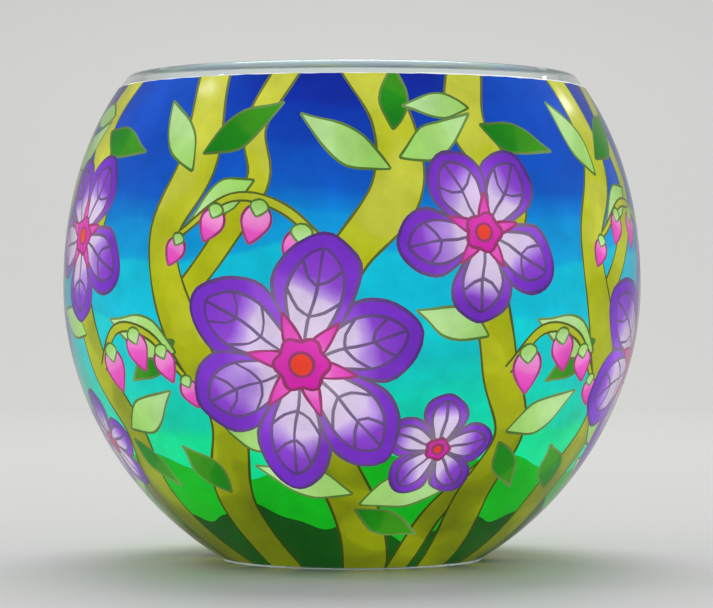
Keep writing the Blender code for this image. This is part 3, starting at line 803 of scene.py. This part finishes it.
def pictureMap():
    # all outlines go into one triangulation of the sheet, and each region takes the ink of its top shape
    border, grid = sheetPoints()
    pieces = visiblePieces()
    points, faces, owners = list(border), [list(range(len(border)))], {}
    cell = sheet["cell"]
    for number, (_, outline, level, _) in enumerate(pieces):
        for shift in (-tileWidth, 0.0, tileWidth):
            moved = [Vector((p.x + shift, p.y)) for p in outline]
            left, right, low, high = extent(moved)
            if left < tileWidth / 2 and right > -tileWidth / 2:
                faces.append([len(points) + i for i in range(len(moved))])
                points += moved
                for column in range(int(left // cell), int(right // cell) + 1):
                    for row in range(int(low // cell), int(high // cell) + 1):
                        owners.setdefault((column, row), []).append((level, number, shift, moved))
    for there in owners.values():
        there.sort(key=lambda owner: -owner[0])
    clear = sheet["gridClearance"] * sheet["gridStep"]
    taken = {(round(p.x / clear), round(p.y / clear)) for p in points}
    for point in grid:
        column, row = round(point.x / clear), round(point.y / clear)
        near = {(column + a, row + b) for a in (-1, 0, 1) for b in (-1, 0, 1)}
        if near.isdisjoint(taken) or abs(point.x) > tileWidth / 2 - sheet["sideClearance"]:
            points.append(point)
    found, edges, triangles, _, sources, _ = delaunay_2d_cdt(points, [], faces, 0, sheet["joinWithin"])
    doubled = [(found[b] - found[a]).cross(found[c] - found[a]) for a, b, c in triangles]  # areas
    layers = {}
    for group in regions(triangles, edges, sources):
        widest = max(group, key=lambda number: abs(doubled[number]))
        middle = sum((found[i] for i in triangles[widest]), Vector((0, 0))) / 3
        if not isInside(middle, border):
            continue
        there = owners.get((int(middle.x // cell), int(middle.y // cell)), [])
        owner = next((owner for owner in there if isInside(middle, owner[3])), None)
        _, number, shift, _ = owner or (None, None, 0.0, None)
        ink, _, _, tone = pieces[number] if owner else ("sky", None, None, None)
        places, cells, tones = layers.setdefault(ink, ({}, [], []))
        for triangle in (triangles[n] if doubled[n] > 0 else triangles[n][::-1] for n in group):
            keys = [(i, number, shift) if tone else i for i in triangle]
            for i, key in zip(triangle, keys):
                if key not in places:
                    places[key] = len(places)
                    tones.append(tone(found[i].x - shift, found[i].y) if tone else 0.5)
            cells.append([places[key] for key in keys])
    meshes = {}
    for ink, (places, cells, tones) in layers.items():
        spots = [found[key[0] if isinstance(key, tuple) else key] for key in places]
        mesh = newMesh(ink, [(p.x * mm, p.y * mm, sheet["lift"] * mm) for p in spots], cells)
        mesh.attributes.new("tone", "FLOAT", "POINT").data.foreach_set("value", tones)
        if ink in sheet["narrowInks"]:
            editMesh(mesh, clearHiddenEdges)
        meshes[ink] = mesh
    return meshes


def clearHiddenEdges(work):
    # narrow inks need no points inside them, and the outlines under them leave many
    bmesh.ops.dissolve_limit(work, angle_limit=sheet["flatWithin"], verts=work.verts, edges=work.edges)
    bmesh.ops.triangulate(work, faces=work.faces)


drawPicture()
inkMeshes = pictureMap()
print("picture drawn:", {ink: len(mesh.polygons) for ink, mesh in inkMeshes.items()})


# inks and film

inkLook = {
    "shader": {"Roughness": 0.17, "Specular IOR Level": 0.12, "Emission Strength": 0.8},
    "body": {"operation": "SCALE", "Scale": 0.42},  # share of the ink's colour that room light shows; the rest of its brightness is a painted glow
    "mottle": {"Scale": 1 / (9 * mm), "Detail": 4.0, "Roughness": 0.6},
    "mottleLight": {"From Min": 0.3, "From Max": 0.7, "To Min": 0.85, "To Max": 1.15},
    "patches": {"Scale": 1 / (11 * mm), "Detail": 1.0, "Roughness": 0.4},
    "patchTone": {"From Min": 0.3, "From Max": 0.7, "To Min": -0.16, "To Max": 0.16},
    "rim": {"From Min": 0.66, "From Max": 0.94, "To Min": 1.0, "To Max": 0.15},  # painted shade at the rim: 0 is face on, 1 edge on
}
skyLook = {
    "waves": {"Scale": 1 / (24 * mm), "Detail": 2.0, "Roughness": 0.45},
    "sway": {"From Min": 0.3, "From Max": 0.7, "To Min": -0.022, "To Max": 0.022},
    "beside": {"From Min": 0.3, "From Max": -0.9},  # 1 is the middle of a picture, -1 where two meet
    "upper": {"From Min": 0.76, "From Max": 0.88, "To Max": 0.85},
    "paleBlue": {"data_type": "RGBA", 7: linear("0850C4")},
}
motifInks = {
    # colour ranges from a motif's base to its tip; stems run from the foot to the lip
    "stem": [
        *[(0.0, "66720A"), (0.17, "7A860A"), (0.2, "86920C"), (0.34, "909C10"), (0.37, "9DA610")],
        *[(0.54, "A6AE10"), (0.57, "AEB618"), (0.74, "B4BC2A"), (0.77, "B8BE3A"), (1.0, "C4C842")],
    ],
    "twig": [(0.0, "9AA614"), (1.0, "B9C232")],
    "lime": [(0.0, "96CC62"), (0.45, "A4D47A"), (0.55, "ACD88A"), (1.0, "B4DC98")],
    "green": [(0.0, "127618"), (0.5, "1E8414"), (0.58, "348A18"), (1.0, "3C921A")],
    "petal": [
        *[(0.0, "DCD0E4"), (0.4, "D2BEE2"), (0.48, "B896DE")],
        *[(0.6, "9A66D4"), (0.68, "8642C6"), (1.0, "7430BC")],
    ],
    "petalEdge": [(0.0, "9C5EDC"), (0.45, "8E4AD2"), (0.6, "7A34C4"), (1.0, "6C2CB8")],
    "pink": [(0.0, "E8A0D0"), (0.45, "E874C8"), (0.55, "E458C0"), (1.0, "DC3CB4")],
    "magenta": [(0.0, "C81CA0"), (1.0, "DC3CB4")],
    "red": [(0.0, "E23A24"), (1.0, "EA4A34")],
    "hill": [(0.0, "0EA018"), (0.5, "10AC1C"), (1.0, "16BC34")],
    "darkHill": [(0.0, "0C4210"), (0.5, "104C12"), (1.0, "16641A")],
    "stemLine": [(0.0, "2E3C08"), (0.5, "4C5A1C"), (1.0, "6A7036")],
    "leafLine": [(0.0, "4C6C2C"), (1.0, "6C8C4C")],
    "petalLine": [(0.0, "8C8090"), (0.4, "705C84"), (1.0, "503078")],
    "pinkLine": [(0.0, "8A2C62"), (1.0, "A04878")],
}
skyBands = [
    # by height above the foot, in shares of the globe's height: wet edges are pairs of stops close together
    *[(0.0, "0CD88C"), (0.29, "0CD890"), (0.31, "08CCA6"), (0.36, "08CEB2"), (0.375, "08CAB6")],
    *[(0.425, "08C2BE"), (0.44, "08C4C8"), (0.5, "08C8CE"), (0.512, "08B8D0"), (0.615, "08B6D2")],
    *[(0.627, "089AD2"), (0.69, "088CD4"), (0.702, "087CCE"), (0.735, "0862C2"), (0.747, "0856BC")],
    *[(0.83, "084AB6"), (0.842, "0840B0"), (0.9, "0834A6"), (0.912, "082A9C"), (1.0, "081A8E")],
]


def inkSurface(tree, shader, place, colour):
    # satin ink film over opal white: room light shows part of its colour, and the light of the tealight
    # inside is painted on as a glow (emission) in the ink's full colour
    mottle = addNode(tree, "ShaderNodeTexNoise", inkLook["mottle"], {"Vector": place})
    strength = addNode(tree, "ShaderNodeMapRange", inkLook["mottleLight"], {"Value": mottle})
    # painted shade: the ink and its glow darken towards the globe's silhouette, where the surface is seen
    # edge on
    facing = addNode(tree, "ShaderNodeLayerWeight", {"Blend": 0.5}).outputs["Facing"]
    rim = addNode(tree, "ShaderNodeMapRange", inkLook["rim"], {"Value": facing})
    # the ink's mottle times the painted shade at the rim
    depth = addNode(tree, "ShaderNodeMath", {"operation": "MULTIPLY"}, {0: strength, 1: rim})
    mottleAndRimShade = addNode(tree, "ShaderNodeVectorMath", {"operation": "SCALE"}, {0: colour, "Scale": depth})
    body = addNode(tree, "ShaderNodeVectorMath", inkLook["body"], {0: mottleAndRimShade})
    setNode(tree, shader, inkLook["shader"], {"Base Color": body, "Emission Color": mottleAndRimShade})


def motifInk(name, stops):
    # screen ink laid on by hand in patches: the colour shifts in soft steps within a shape
    material, tree, shader, place = newMaterial(name)
    tone = addNode(tree, "ShaderNodeAttribute", {"attribute_name": "tone"}).outputs["Fac"]
    patches = addNode(tree, "ShaderNodeTexNoise", inkLook["patches"], {"Vector": place})
    shift = addNode(tree, "ShaderNodeMapRange", inkLook["patchTone"], {"Value": patches})
    shifted = addNode(tree, "ShaderNodeMath", {"operation": "ADD"}, {0: tone, 1: shift})
    colour = addNode(tree, "ShaderNodeValToRGB", {"stops": stops}, {0: shifted})
    inkSurface(tree, shader, place, colour)
    return material


def skyInk():
    # watercolour: bands with wet edges that follow the height, in slow waves
    material, tree, shader, place = newMaterial("watercolour sky ink")
    split = addNode(tree, "ShaderNodeSeparateXYZ", links={0: place}).outputs
    height = addNode(tree, "ShaderNodeMapRange", {"From Max": globe["height"]}, {"Value": split["Z"]})
    waves = addNode(tree, "ShaderNodeTexNoise", skyLook["waves"], {"Vector": place})
    sway = addNode(tree, "ShaderNodeMapRange", skyLook["sway"], {"Value": waves})
    level = addNode(tree, "ShaderNodeMath", {"operation": "ADD"}, {0: height, 1: sway})
    bands = addNode(tree, "ShaderNodeValToRGB", {"stops": skyBands}, {0: level})
    # paler blue towards the top, between the middles of the pictures
    turn = addNode(tree, "ShaderNodeMath", {"operation": "ARCTAN2"}, {0: split["X"], 1: split["Y"]})
    turns = addNode(tree, "ShaderNodeMath", {"operation": "MULTIPLY", 1: sheet["copies"]}, {0: turn})
    swing = addNode(tree, "ShaderNodeMath", {"operation": "COSINE"}, {0: turns})
    beside = addNode(tree, "ShaderNodeMapRange", skyLook["beside"], {"Value": swing})
    upper = addNode(tree, "ShaderNodeMapRange", skyLook["upper"], {"Value": level})
    thin = addNode(tree, "ShaderNodeMath", {"operation": "MULTIPLY"}, {0: beside, 1: upper})
    skyWithPaleBlue = addNode(tree, "ShaderNodeMix", skyLook["paleBlue"], {0: thin, 6: bands})
    inkSurface(tree, shader, place, skyWithPaleBlue.outputs[2])
    return material


film = {
    "lowEdge": 0.45 * mm,
    "topEdge": 89.35 * mm,
    "lift": 0.10 * mm,
    "thickness": 0.12 * mm,  # its glue wets the glass: light in the wall meets the white at once
    "columns": 180,
    "rows": 60,
    "seam": 14.5,  # degrees from the front, where the film laps over itself
    "seamStep": 0.14 * mm,
    "edgeWave": 0.03 * mm,
    "edgeWaves": 17,
    "shader": {"Roughness": 0.45, "Alpha": 0.6, "Emission Strength": 0.5},  # the alpha of each of its faces
    "clouds": {"Scale": 1 / (14 * mm), "Detail": 2.0},
    "white": {"stops": [(0.35, "E6EEF4"), (0.65, "FFFFFF")]},
    # painted light: the glow and shade painted on the white fade from the flame to the lip
    "fade": {"From Min": 30 * mm, "From Max": 89.35 * mm, "To Min": 1.0, "To Max": 0.25},
    "cutEdge": {"From Min": (sheet["topEdge"] - 0.1) * mm, "From Max": sheet["topEdge"] * mm},
}


def opalWhite():
    # white undercoat on clear film: the print shows through it faintly inside the bowl. The tealight's light
    # on it is painted on as glow and shade: it fades towards the lip, and its cut edge is painted at full
    # glow
    material, tree, shader, place = newMaterial("opal white undercoat")
    height = addNode(tree, "ShaderNodeSeparateXYZ", links={0: place}).outputs["Z"]
    fade = addNode(tree, "ShaderNodeMapRange", film["fade"], {"Value": height})
    cutEdge = addNode(tree, "ShaderNodeMapRange", film["cutEdge"], {"Value": height})
    light = addNode(tree, "ShaderNodeMix", {"data_type": "FLOAT", 3: 1.0}, {0: cutEdge, 2: fade})
    clouds = addNode(tree, "ShaderNodeTexNoise", film["clouds"], {"Vector": place})
    white = addNode(tree, "ShaderNodeValToRGB", film["white"], {0: clouds})
    lit = addNode(tree, "ShaderNodeVectorMath", {"operation": "SCALE"}, {0: white, "Scale": light})
    setNode(tree, shader, film["shader"], {"Base Color": lit, "Emission Color": lit})
    return material


def opalSheet():
    # flat sheet once round the globe, with rows closer together near the foot and an uneven upper edge
    columns, rows = film["columns"], film["rows"]
    places = []
    for j in range(rows + 1):
        z = rowHeight(film["lowEdge"], film["topEdge"], j / rows)
        for i in range(columns + 1):
            past = (i / columns - film["seam"] / 360) % 1.0  # way round from the seam
            wave = film["edgeWave"] * math.sin(math.tau * film["edgeWaves"] * past)
            rise = film["seamStep"] * (0.5 - past) + wave if j == rows else 0.0
            places.append((i / columns * ring * mm, z + rise, film["lift"]))
    starts = [j * (columns + 1) + i for j in range(rows) for i in range(columns)]
    return newMesh("opal", places, [(a, a + 1, a + columns + 2, a + columns + 1) for a in starts])


def makePrint():
    opal = shaped("opalFilm", opalSheet(), wrapTree, opalWhite(), film["thickness"])
    keep(opal, "globe", ["decor_film"])
    for ink, mesh in inkMeshes.items():
        material = skyInk() if ink == "sky" else motifInk(ink + " screen ink", motifInks[ink])
        piece = shaped(ink + "Ink", mesh, wrapTree, material, sheet["thickness"] * mm, Copies=sheet["copies"])
        keep(piece, "globe")


makePrint()


# blown glass


def arc(centre, radius, start, end, count):
    turns = [start + (end - start) * i / count for i in range(count + 1)]
    return [centre + radius * Vector((math.cos(a), math.sin(a))) for a in turns]


def wallCurve(low, high, lift, count):
    # points of the wall from high to low, closest together at the foot
    return [wallPoint(rowHeight(low, high, 1 - i / count), lift) for i in range(count + 1)]


def solve(error, low, high, within=1e-9):
    # where error changes from negative to positive
    while high - low > within:
        middle = (low + high) / 2
        low, high = (middle, high) if error(middle) < 0 else (low, middle)
    return (low + high) / 2


def direction(vector):
    return math.atan2(vector.y, vector.x)


def glassProfile():
    # inner floor, up the inside, over the fire-polished lip, down the outside and under the foot
    widest, height = globe["widestHeight"], globe["height"]
    lip = globe["wall"] / 2
    lipEnd = solve(lambda z: wallPoint(z, -lip).y + lip - height, widest, height)
    lipCentre = wallPoint(lipEnd, -lip)
    outward = direction(wallPoint(lipEnd) - lipCentre)
    floorEnd = solve(lambda z: wallPoint(z, -globe["wall"]).y - globe["floor"], 0, widest)
    rounding = globe["footRounding"]
    footEnd = solve(lambda z: wallPoint(z, -rounding).y - rounding, 0, widest)
    footCentre = wallPoint(footEnd, -rounding)
    footStart = direction(wallPoint(footEnd) - footCentre)
    kick = globe["kickRadius"]
    return [
        (0.0, globe["floor"]),
        *wallCurve(floorEnd, lipEnd, -globe["wall"], globe["insideSteps"])[::-1],
        *arc(lipCentre, lip, outward + math.pi, outward, globe["lipSteps"])[1:-1],
        *wallCurve(footEnd, lipEnd, 0.0, globe["outsideSteps"]),
        *arc(footCentre, rounding, footStart, -math.pi / 2, globe["footSteps"])[1:],
        (kick, 0.0),
        (kick - globe["kickSlope"], globe["kickDepth"]),
        (0.0, globe["kickDepth"]),
    ]


glassLook = {
    "shader": {"Base Color": linear("F0FAF9"), "Roughness": 0.015, "IOR": 1.51, "Transmission Weight": 1.0},
    "ripple": {"Scale": 1 / (16 * mm), "Detail": 1.0},
    "rippleDepth": {"Strength": 0.1, "Distance": 0.3 * mm},
}


def clearGlass():
    # soda-lime glass, blown and fire-polished: nearly smooth, a trace of blue-green in the thick lip
    material, tree, shader, place = newMaterial("clear soda-lime glass")
    ripple = addNode(tree, "ShaderNodeTexNoise", glassLook["ripple"], {"Vector": place})
    bump = addNode(tree, "ShaderNodeBump", glassLook["rippleDepth"], {"Height": ripple})
    setNode(tree, shader, glassLook["shader"], {"Normal": bump})
    return material


glass = turned("blownGlass", glassProfile(), clearGlass(), globe["steps"])
keep(glass, "globe", ["glass_globe"], sharpAngle=50)


# LED tealight: a finer case and flame than the CAD's, and a finish for every part inside

tealight = {
    "steps": 120,
    "wall": 1.2 * mm,
    "taper": 0.9 * mm,  # how much slimmer the case is at the top
    "edge": 1.0 * mm,  # rounding of the top edge
    "edgeStart": 110,  # degrees, where the dish runs into it
    "edgeSteps": 12,
    "dishDepth": 1.6 * mm,  # the hollow that melted wax leaves in a candle
    "dishSteepness": 2.5,
    "dishSteps": 24,
    "collarWidth": 0.9 * mm,
    "collarHeight": 0.5 * mm,
    "chamfer": 0.2 * mm,
    "lensGap": 0.3 * mm,
    "lip": 0.6 * mm,  # snap bead round the base plate
    "lipHeight": 0.3 * mm,
    "ledge": 0.9 * mm,
    "posts": 3,
    "postStart": 60,  # degrees
    "postRadius": 1.2 * mm,
    "postSteps": 24,
    "postInset": 2.8 * mm,  # from the board's edge
    "pegRadius": 0.6 * mm,
    "pegReach": 0.6 * mm,  # below the board
    "flangeWidth": 1.3 * mm,
    "flangeHeight": 0.9 * mm,
    "lensWall": 0.9 * mm,
    "lensTip": 1.8 * mm,
    "shoulder": 5.5 * mm,  # straight part of the flame above the dish
    "pointedness": 1.15,
    "flameSteps": 28,
}


def caseProfile():
    # from the collar round the flame, over the dish and the rounded edge, down the skirt, and back inside
    low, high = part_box("tealight_housing")
    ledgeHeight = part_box("base_plate")[1].z + tealight["lensGap"]
    edge, wall, chamfer = tealight["edge"], tealight["wall"], tealight["chamfer"]
    radius, base, top = high.x, low.z, high.z
    edgeCentre = Vector((radius - tealight["taper"] - edge, top - edge))
    edgeArc = arc(edgeCentre, edge, math.radians(tealight["edgeStart"]), 0, tealight["edgeSteps"])
    dishFloor = top - tealight["dishDepth"]
    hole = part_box("flame_lens")[1].x - tealight["flangeWidth"] + tealight["lensGap"]
    collar = hole + tealight["collarWidth"]
    rise = edgeArc[0] - Vector((collar, dishFloor))
    shares = [i / tealight["dishSteps"] for i in range(tealight["dishSteps"])]
    bore = radius - wall
    ceiling = dishFloor - wall
    collarTop = dishFloor + tealight["collarHeight"]
    beadTop = base + tealight["lipHeight"]
    return [
        (hole, collarTop),
        (collar - chamfer, collarTop),
        (collar, collarTop - chamfer),
        *[(collar + rise.x * s, dishFloor + rise.y * s ** tealight["dishSteepness"]) for s in shares],
        *edgeArc,
        (radius, base + chamfer),
        (radius - chamfer, base),
        (bore - tealight["lip"], base),
        (bore - tealight["lip"], beadTop),
        (bore, beadTop),
        (bore, ledgeHeight),
        (bore - tealight["ledge"], ledgeHeight),
        (bore - tealight["ledge"] - tealight["taper"], ceiling),
        (hole, ceiling),
        (hole, collarTop),
    ]


def addPosts(case, material):
    # stepped posts under the case's top: their pegs go through the board and carry it
    low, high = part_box("circuit_board")
    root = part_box("tealight_housing")[1].z - tealight["dishDepth"] - tealight["wall"] / 2
    shoulder = high.z + tealight["lensGap"]
    end = low.z - tealight["pegReach"]
    thick, thin = tealight["postRadius"], tealight["pegRadius"]
    profile = [(0.0, root), (thick, root), (thick, shoulder), (thin, shoulder), (thin, end), (0.0, end)]
    post = turned("post", profile, material, tealight["postSteps"])
    out = high.x - tealight["postInset"]

    def addCopies(work):
        for i in range(tealight["posts"]):
            turn = math.radians(tealight["postStart"]) + math.tau * i / tealight["posts"]
            moved = post.data.copy()
            moved.transform(Matrix.Translation((out * math.cos(turn), out * math.sin(turn), 0.0)))
            work.from_mesh(moved)
            bpy.data.meshes.remove(moved)

    editMesh(case.data, addCopies)
    bpy.data.objects.remove(post, do_unlink=True)


def flameProfile():
    # outside from the tip down to the flange and the skirt, then the inside up to the tip
    low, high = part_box("flame_lens")
    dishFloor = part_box("tealight_housing")[1].z - tealight["dishDepth"]
    shoulder = dishFloor + tealight["shoulder"]
    flangeTop = dishFloor - tealight["wall"] - tealight["lensGap"]
    flangeBottom = flangeTop - tealight["flangeHeight"]
    radius = high.x - tealight["flangeWidth"]
    inner = radius - tealight["lensWall"]

    def flame(size, height):
        points = []
        for share in (i / tealight["flameSteps"] for i in range(tealight["flameSteps"] + 1)):
            narrowing = max(0.0, math.cos(math.pi / 2 * share)) ** tealight["pointedness"]
            points.append((size * narrowing, shoulder + height * share))
        return points

    return [
        *flame(radius, high.z - shoulder)[::-1],
        (radius, flangeTop),
        (high.x, flangeTop),
        (high.x, flangeBottom),
        (radius, flangeBottom),
        (radius, low.z),
        (inner, low.z),
        *flame(inner, high.z - shoulder - tealight["lensTip"]),
    ]


plastic = {
    "grainDepth": {"Strength": 0.5, "Distance": 0.012 * mm},
    "clouds": {"Scale": 1 / (7 * mm), "Detail": 2.0},
    "darker": 0.97,  # the clouds' darkest, as a share of the colour
    "clouded": (0.3, 0.62),  # of their noise: darkest up to the first, clear from the second
    "gloss": (0.35, 0.65, -0.05, 0.08),  # of the grain, to what it adds to the roughness
}
metal = {
    "grainDepth": {"Strength": 0.3, "Distance": 0.004 * mm},
    "clouds": {"Scale": 1 / (4 * mm), "Detail": 3.0},
    "darker": 0.86,
    "clouded": (0.3, 0.6),
    "gloss": (0.3, 0.7, -0.08, 0.12),
    "streakLength": 0.06,  # share of their pattern's pitch along X
}


def wornSurface(tree, grainPlace, grainScale, place, colour, roughness, look):
    # links for what plastic and metal share: clouded colour, and a fine grain in the gloss and the surface
    settings = {"Scale": grainScale, "Detail": 3.0}
    grain = addNode(tree, "ShaderNodeTexNoise", settings, {"Vector": grainPlace})
    clouds = addNode(tree, "ShaderNodeTexNoise", look["clouds"], {"Vector": place})
    darker = "".join(f"{round(int(colour[i : i + 2], 16) * look['darker']):02X}" for i in (0, 2, 4))
    stops = list(zip(look["clouded"], (darker, colour)))
    tint = addNode(tree, "ShaderNodeValToRGB", {"stops": stops}, {0: clouds})
    low, high, less, more = look["gloss"]
    gloss = {"From Min": low, "From Max": high, "To Min": roughness + less, "To Max": roughness + more}
    rough = addNode(tree, "ShaderNodeMapRange", gloss, {"Value": grain})
    bump = addNode(tree, "ShaderNodeBump", look["grainDepth"], {"Height": grain})
    return {"Base Color": tint, "Roughness": rough, "Normal": bump}


def mouldedPlastic(name, colour, roughness, grainSize=0.35 * mm, glow=0.0):
    # injection-moulded polypropylene: satin, with the fine spark-eroded grain of its mould
    material, tree, shader, place = newMaterial(name)
    links = wornSurface(tree, place, 1 / grainSize, place, colour, roughness, plastic)
    links["Emission Color"] = links["Base Color"]
    setNode(tree, shader, {"IOR": 1.49, "Emission Strength": glow}, links)
    return material


def brushedMetal(name, colour, roughness, streak):
    # rolled and brushed strip: fine streaks along X blur the reflections one way
    material, tree, shader, place = newMaterial(name)
    settings = {"Scale": (metal["streakLength"] / streak, 1 / streak, 1 / streak)}
    stretched = addNode(tree, "ShaderNodeMapping", settings, {"Vector": place})
    links = wornSurface(tree, stretched, 1.0, place, colour, roughness, metal)
    setNode(tree, shader, {"Metallic": 1.0}, links)
    return material


board = {
    "shader": {"Roughness": 0.28, "IOR": 1.52},
    "cells": {"feature": "DISTANCE_TO_EDGE", "Scale": 1 / (4.5 * mm), "Randomness": 0.6},
    "tracks": {"From Min": 0.05, "From Max": 0.08},
    "green": {"stops": [(0.0, "0A4A26"), (1.0, "1C7A42")]},
    "trackDepth": {"Strength": 0.6, "Distance": 0.035 * mm},
}


def solderMask():
    # fibreglass board under green solder mask: tracks show as slightly raised, lighter cells
    material, tree, shader, place = newMaterial("green solder mask on fibreglass board")
    cells = addNode(tree, "ShaderNodeTexVoronoi", board["cells"], {"Vector": place}).outputs["Distance"]
    tracks = addNode(tree, "ShaderNodeMapRange", board["tracks"], {"Value": cells})
    green = addNode(tree, "ShaderNodeValToRGB", board["green"], {0: tracks})
    bump = addNode(tree, "ShaderNodeBump", board["trackDepth"], {"Height": tracks})
    setNode(tree, shader, board["shader"], {"Base Color": green, "Normal": bump})
    return material


epoxy = {
    "shader": {"Roughness": 0.06, "IOR": 1.54, "Transmission Weight": 0.5, "Emission Strength": 2.5},
    "haze": {"Scale": 1 / (1.2 * mm), "Detail": 2.0},
    "tint": {"stops": [(0.3, "EAF2FF"), (0.7, "FFFFF4")]},
}


def castEpoxy():
    # water-clear epoxy over a phosphor chip: it glows from the middle, with a smooth cast skin
    material, tree, shader, place = newMaterial("clear cast epoxy with lit phosphor")
    haze = addNode(tree, "ShaderNodeTexNoise", epoxy["haze"], {"Vector": place})
    tint = addNode(tree, "ShaderNodeValToRGB", epoxy["tint"], {0: haze})
    setNode(tree, shader, epoxy["shader"], {"Base Color": tint, "Emission Color": tint})
    return material


def makeTealight():
    whitePlastic = mouldedPlastic("white moulded polypropylene", "F4F4F0", 0.36)
    flamePlastic = mouldedPlastic("frosted flame diffuser", "F2F8FF", 0.5, 0.2 * mm, glow=0.3)
    blackPlastic = mouldedPlastic("black moulded ABS", "1C1C1E", 0.42)
    steel = brushedMetal("pressed stainless steel", "CFCDC8", 0.26, 0.12 * mm)
    nickel = brushedMetal("nickel-plated spring strip", "DAD6CC", 0.2, 0.08 * mm)
    case = turned("tealightCase", caseProfile(), whitePlastic, tealight["steps"])
    addPosts(case, whitePlastic)
    keep(case, "tealight", ["tealight_housing"])
    flame = turned("flameDiffuser", flameProfile(), flamePlastic, tealight["steps"] // 2)
    keep(flame, "tealight", ["flame_lens"])
    finishes = {
        "base_plate": whitePlastic,
        "battery_door": whitePlastic,
        "circuit_board": solderMask(),
        "led": castEpoxy(),
        "coin_cell": steel,
        "negative_contact": nickel,
        "positive_contact": nickel,
        "switch_wiper": nickel,
        "switch_slider": blackPlastic,
    }
    for node, finish in finishes.items():
        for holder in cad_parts[node].material_slots:
            holder.material = finish
    print("tealight finished,", len(finishes), "parts keep their shape")


makeTealight()


# floor, backdrop, light and camera

studio = {
    "halfWidth": 5.0,
    "front": -4.0,
    "back": 1.1,
    "height": 1.3,
    "curve": 0.35,
    "curveSteps": 24,
    "drop": 0.05 * mm,  # keeps the paper clear of the glass foot
    "paper": {"Base Color": linear("E4E4E2"), "Roughness": 0.5},
    "sky": {"Color": linear("FFFFFF"), "Strength": 0.5},
}


def makeStudio():
    # seamless paper sweep: floor, curve and back wall, under an even sky
    floor, half = -studio["drop"], studio["halfWidth"]
    curveCentre = Vector((studio["back"] - studio["curve"], studio["curve"] + floor))
    line = [
        Vector((studio["front"], floor)),
        *arc(curveCentre, studio["curve"], -math.pi / 2, 0.0, studio["curveSteps"]),
        Vector((studio["back"], studio["height"])),
    ]
    faces = [(2 * i, 2 * i + 1, 2 * i + 3, 2 * i + 2) for i in range(len(line) - 1)]
    mesh = newMesh("sweep", [(x, y, z) for y, z in line for x in (-half, half)], faces)
    mesh.shade_smooth()
    paper = bpy.data.materials.new("matt paper sweep")
    world = bpy.context.scene.world = bpy.data.worlds.new("studio")
    for holder, shader, look in ((paper, "Principled BSDF", "paper"), (world, "Background", "sky")):
        holder.use_nodes = True
        setNode(holder.node_tree, holder.node_tree.nodes[shader], studio[look])
    mesh.materials.append(paper)
    newObject("studioSweep", mesh)


lamps = [
    # name, place, width, height, power
    ("left softbox", (-0.625, 0.016, 0.755), 0.06, 0.04, 0.32),
    ("right softbox", (0.629, 0.515, 0.496), 0.04, 0.065, 0.18),
    ("back softbox", (0.0, 0.55, 1.15), 0.9, 0.6, 6.5),
]


def makeLamps():
    for name, place, width, height, power in lamps:
        data = bpy.data.lights.new(name, "AREA")
        data.shape = "ELLIPSE"
        data.size, data.size_y, data.energy = width, height, power
        aim = Vector((0, 0, globe["height"] / 2)) - Vector(place)
        newObject(name, data, location=place, rotation_euler=aim.to_track_quat("-Z", "Y").to_euler())


camera = {
    "distance": 0.570,
    "height": 0.0485,
    "side": 0.00085,
    "lens": 150.63,
    "sensor": 36.0,
    "clip": 0.01,
}


def makeCamera():
    # level, and square to the front
    data = bpy.data.cameras.new("camera")
    data.lens, data.sensor_width, data.clip_start = camera["lens"], camera["sensor"], camera["clip"]
    place = (camera["side"], -camera["distance"], camera["height"])
    holder = newObject("camera", data, location=place, rotation_euler=(math.pi / 2, 0.0, 0.0))
    bpy.context.scene.camera = holder


makeStudio()
makeLamps()
makeCamera()
bpy.context.scene.view_settings.view_transform = "Standard"
print("sweep,", len(lamps), "lamps and camera in place")
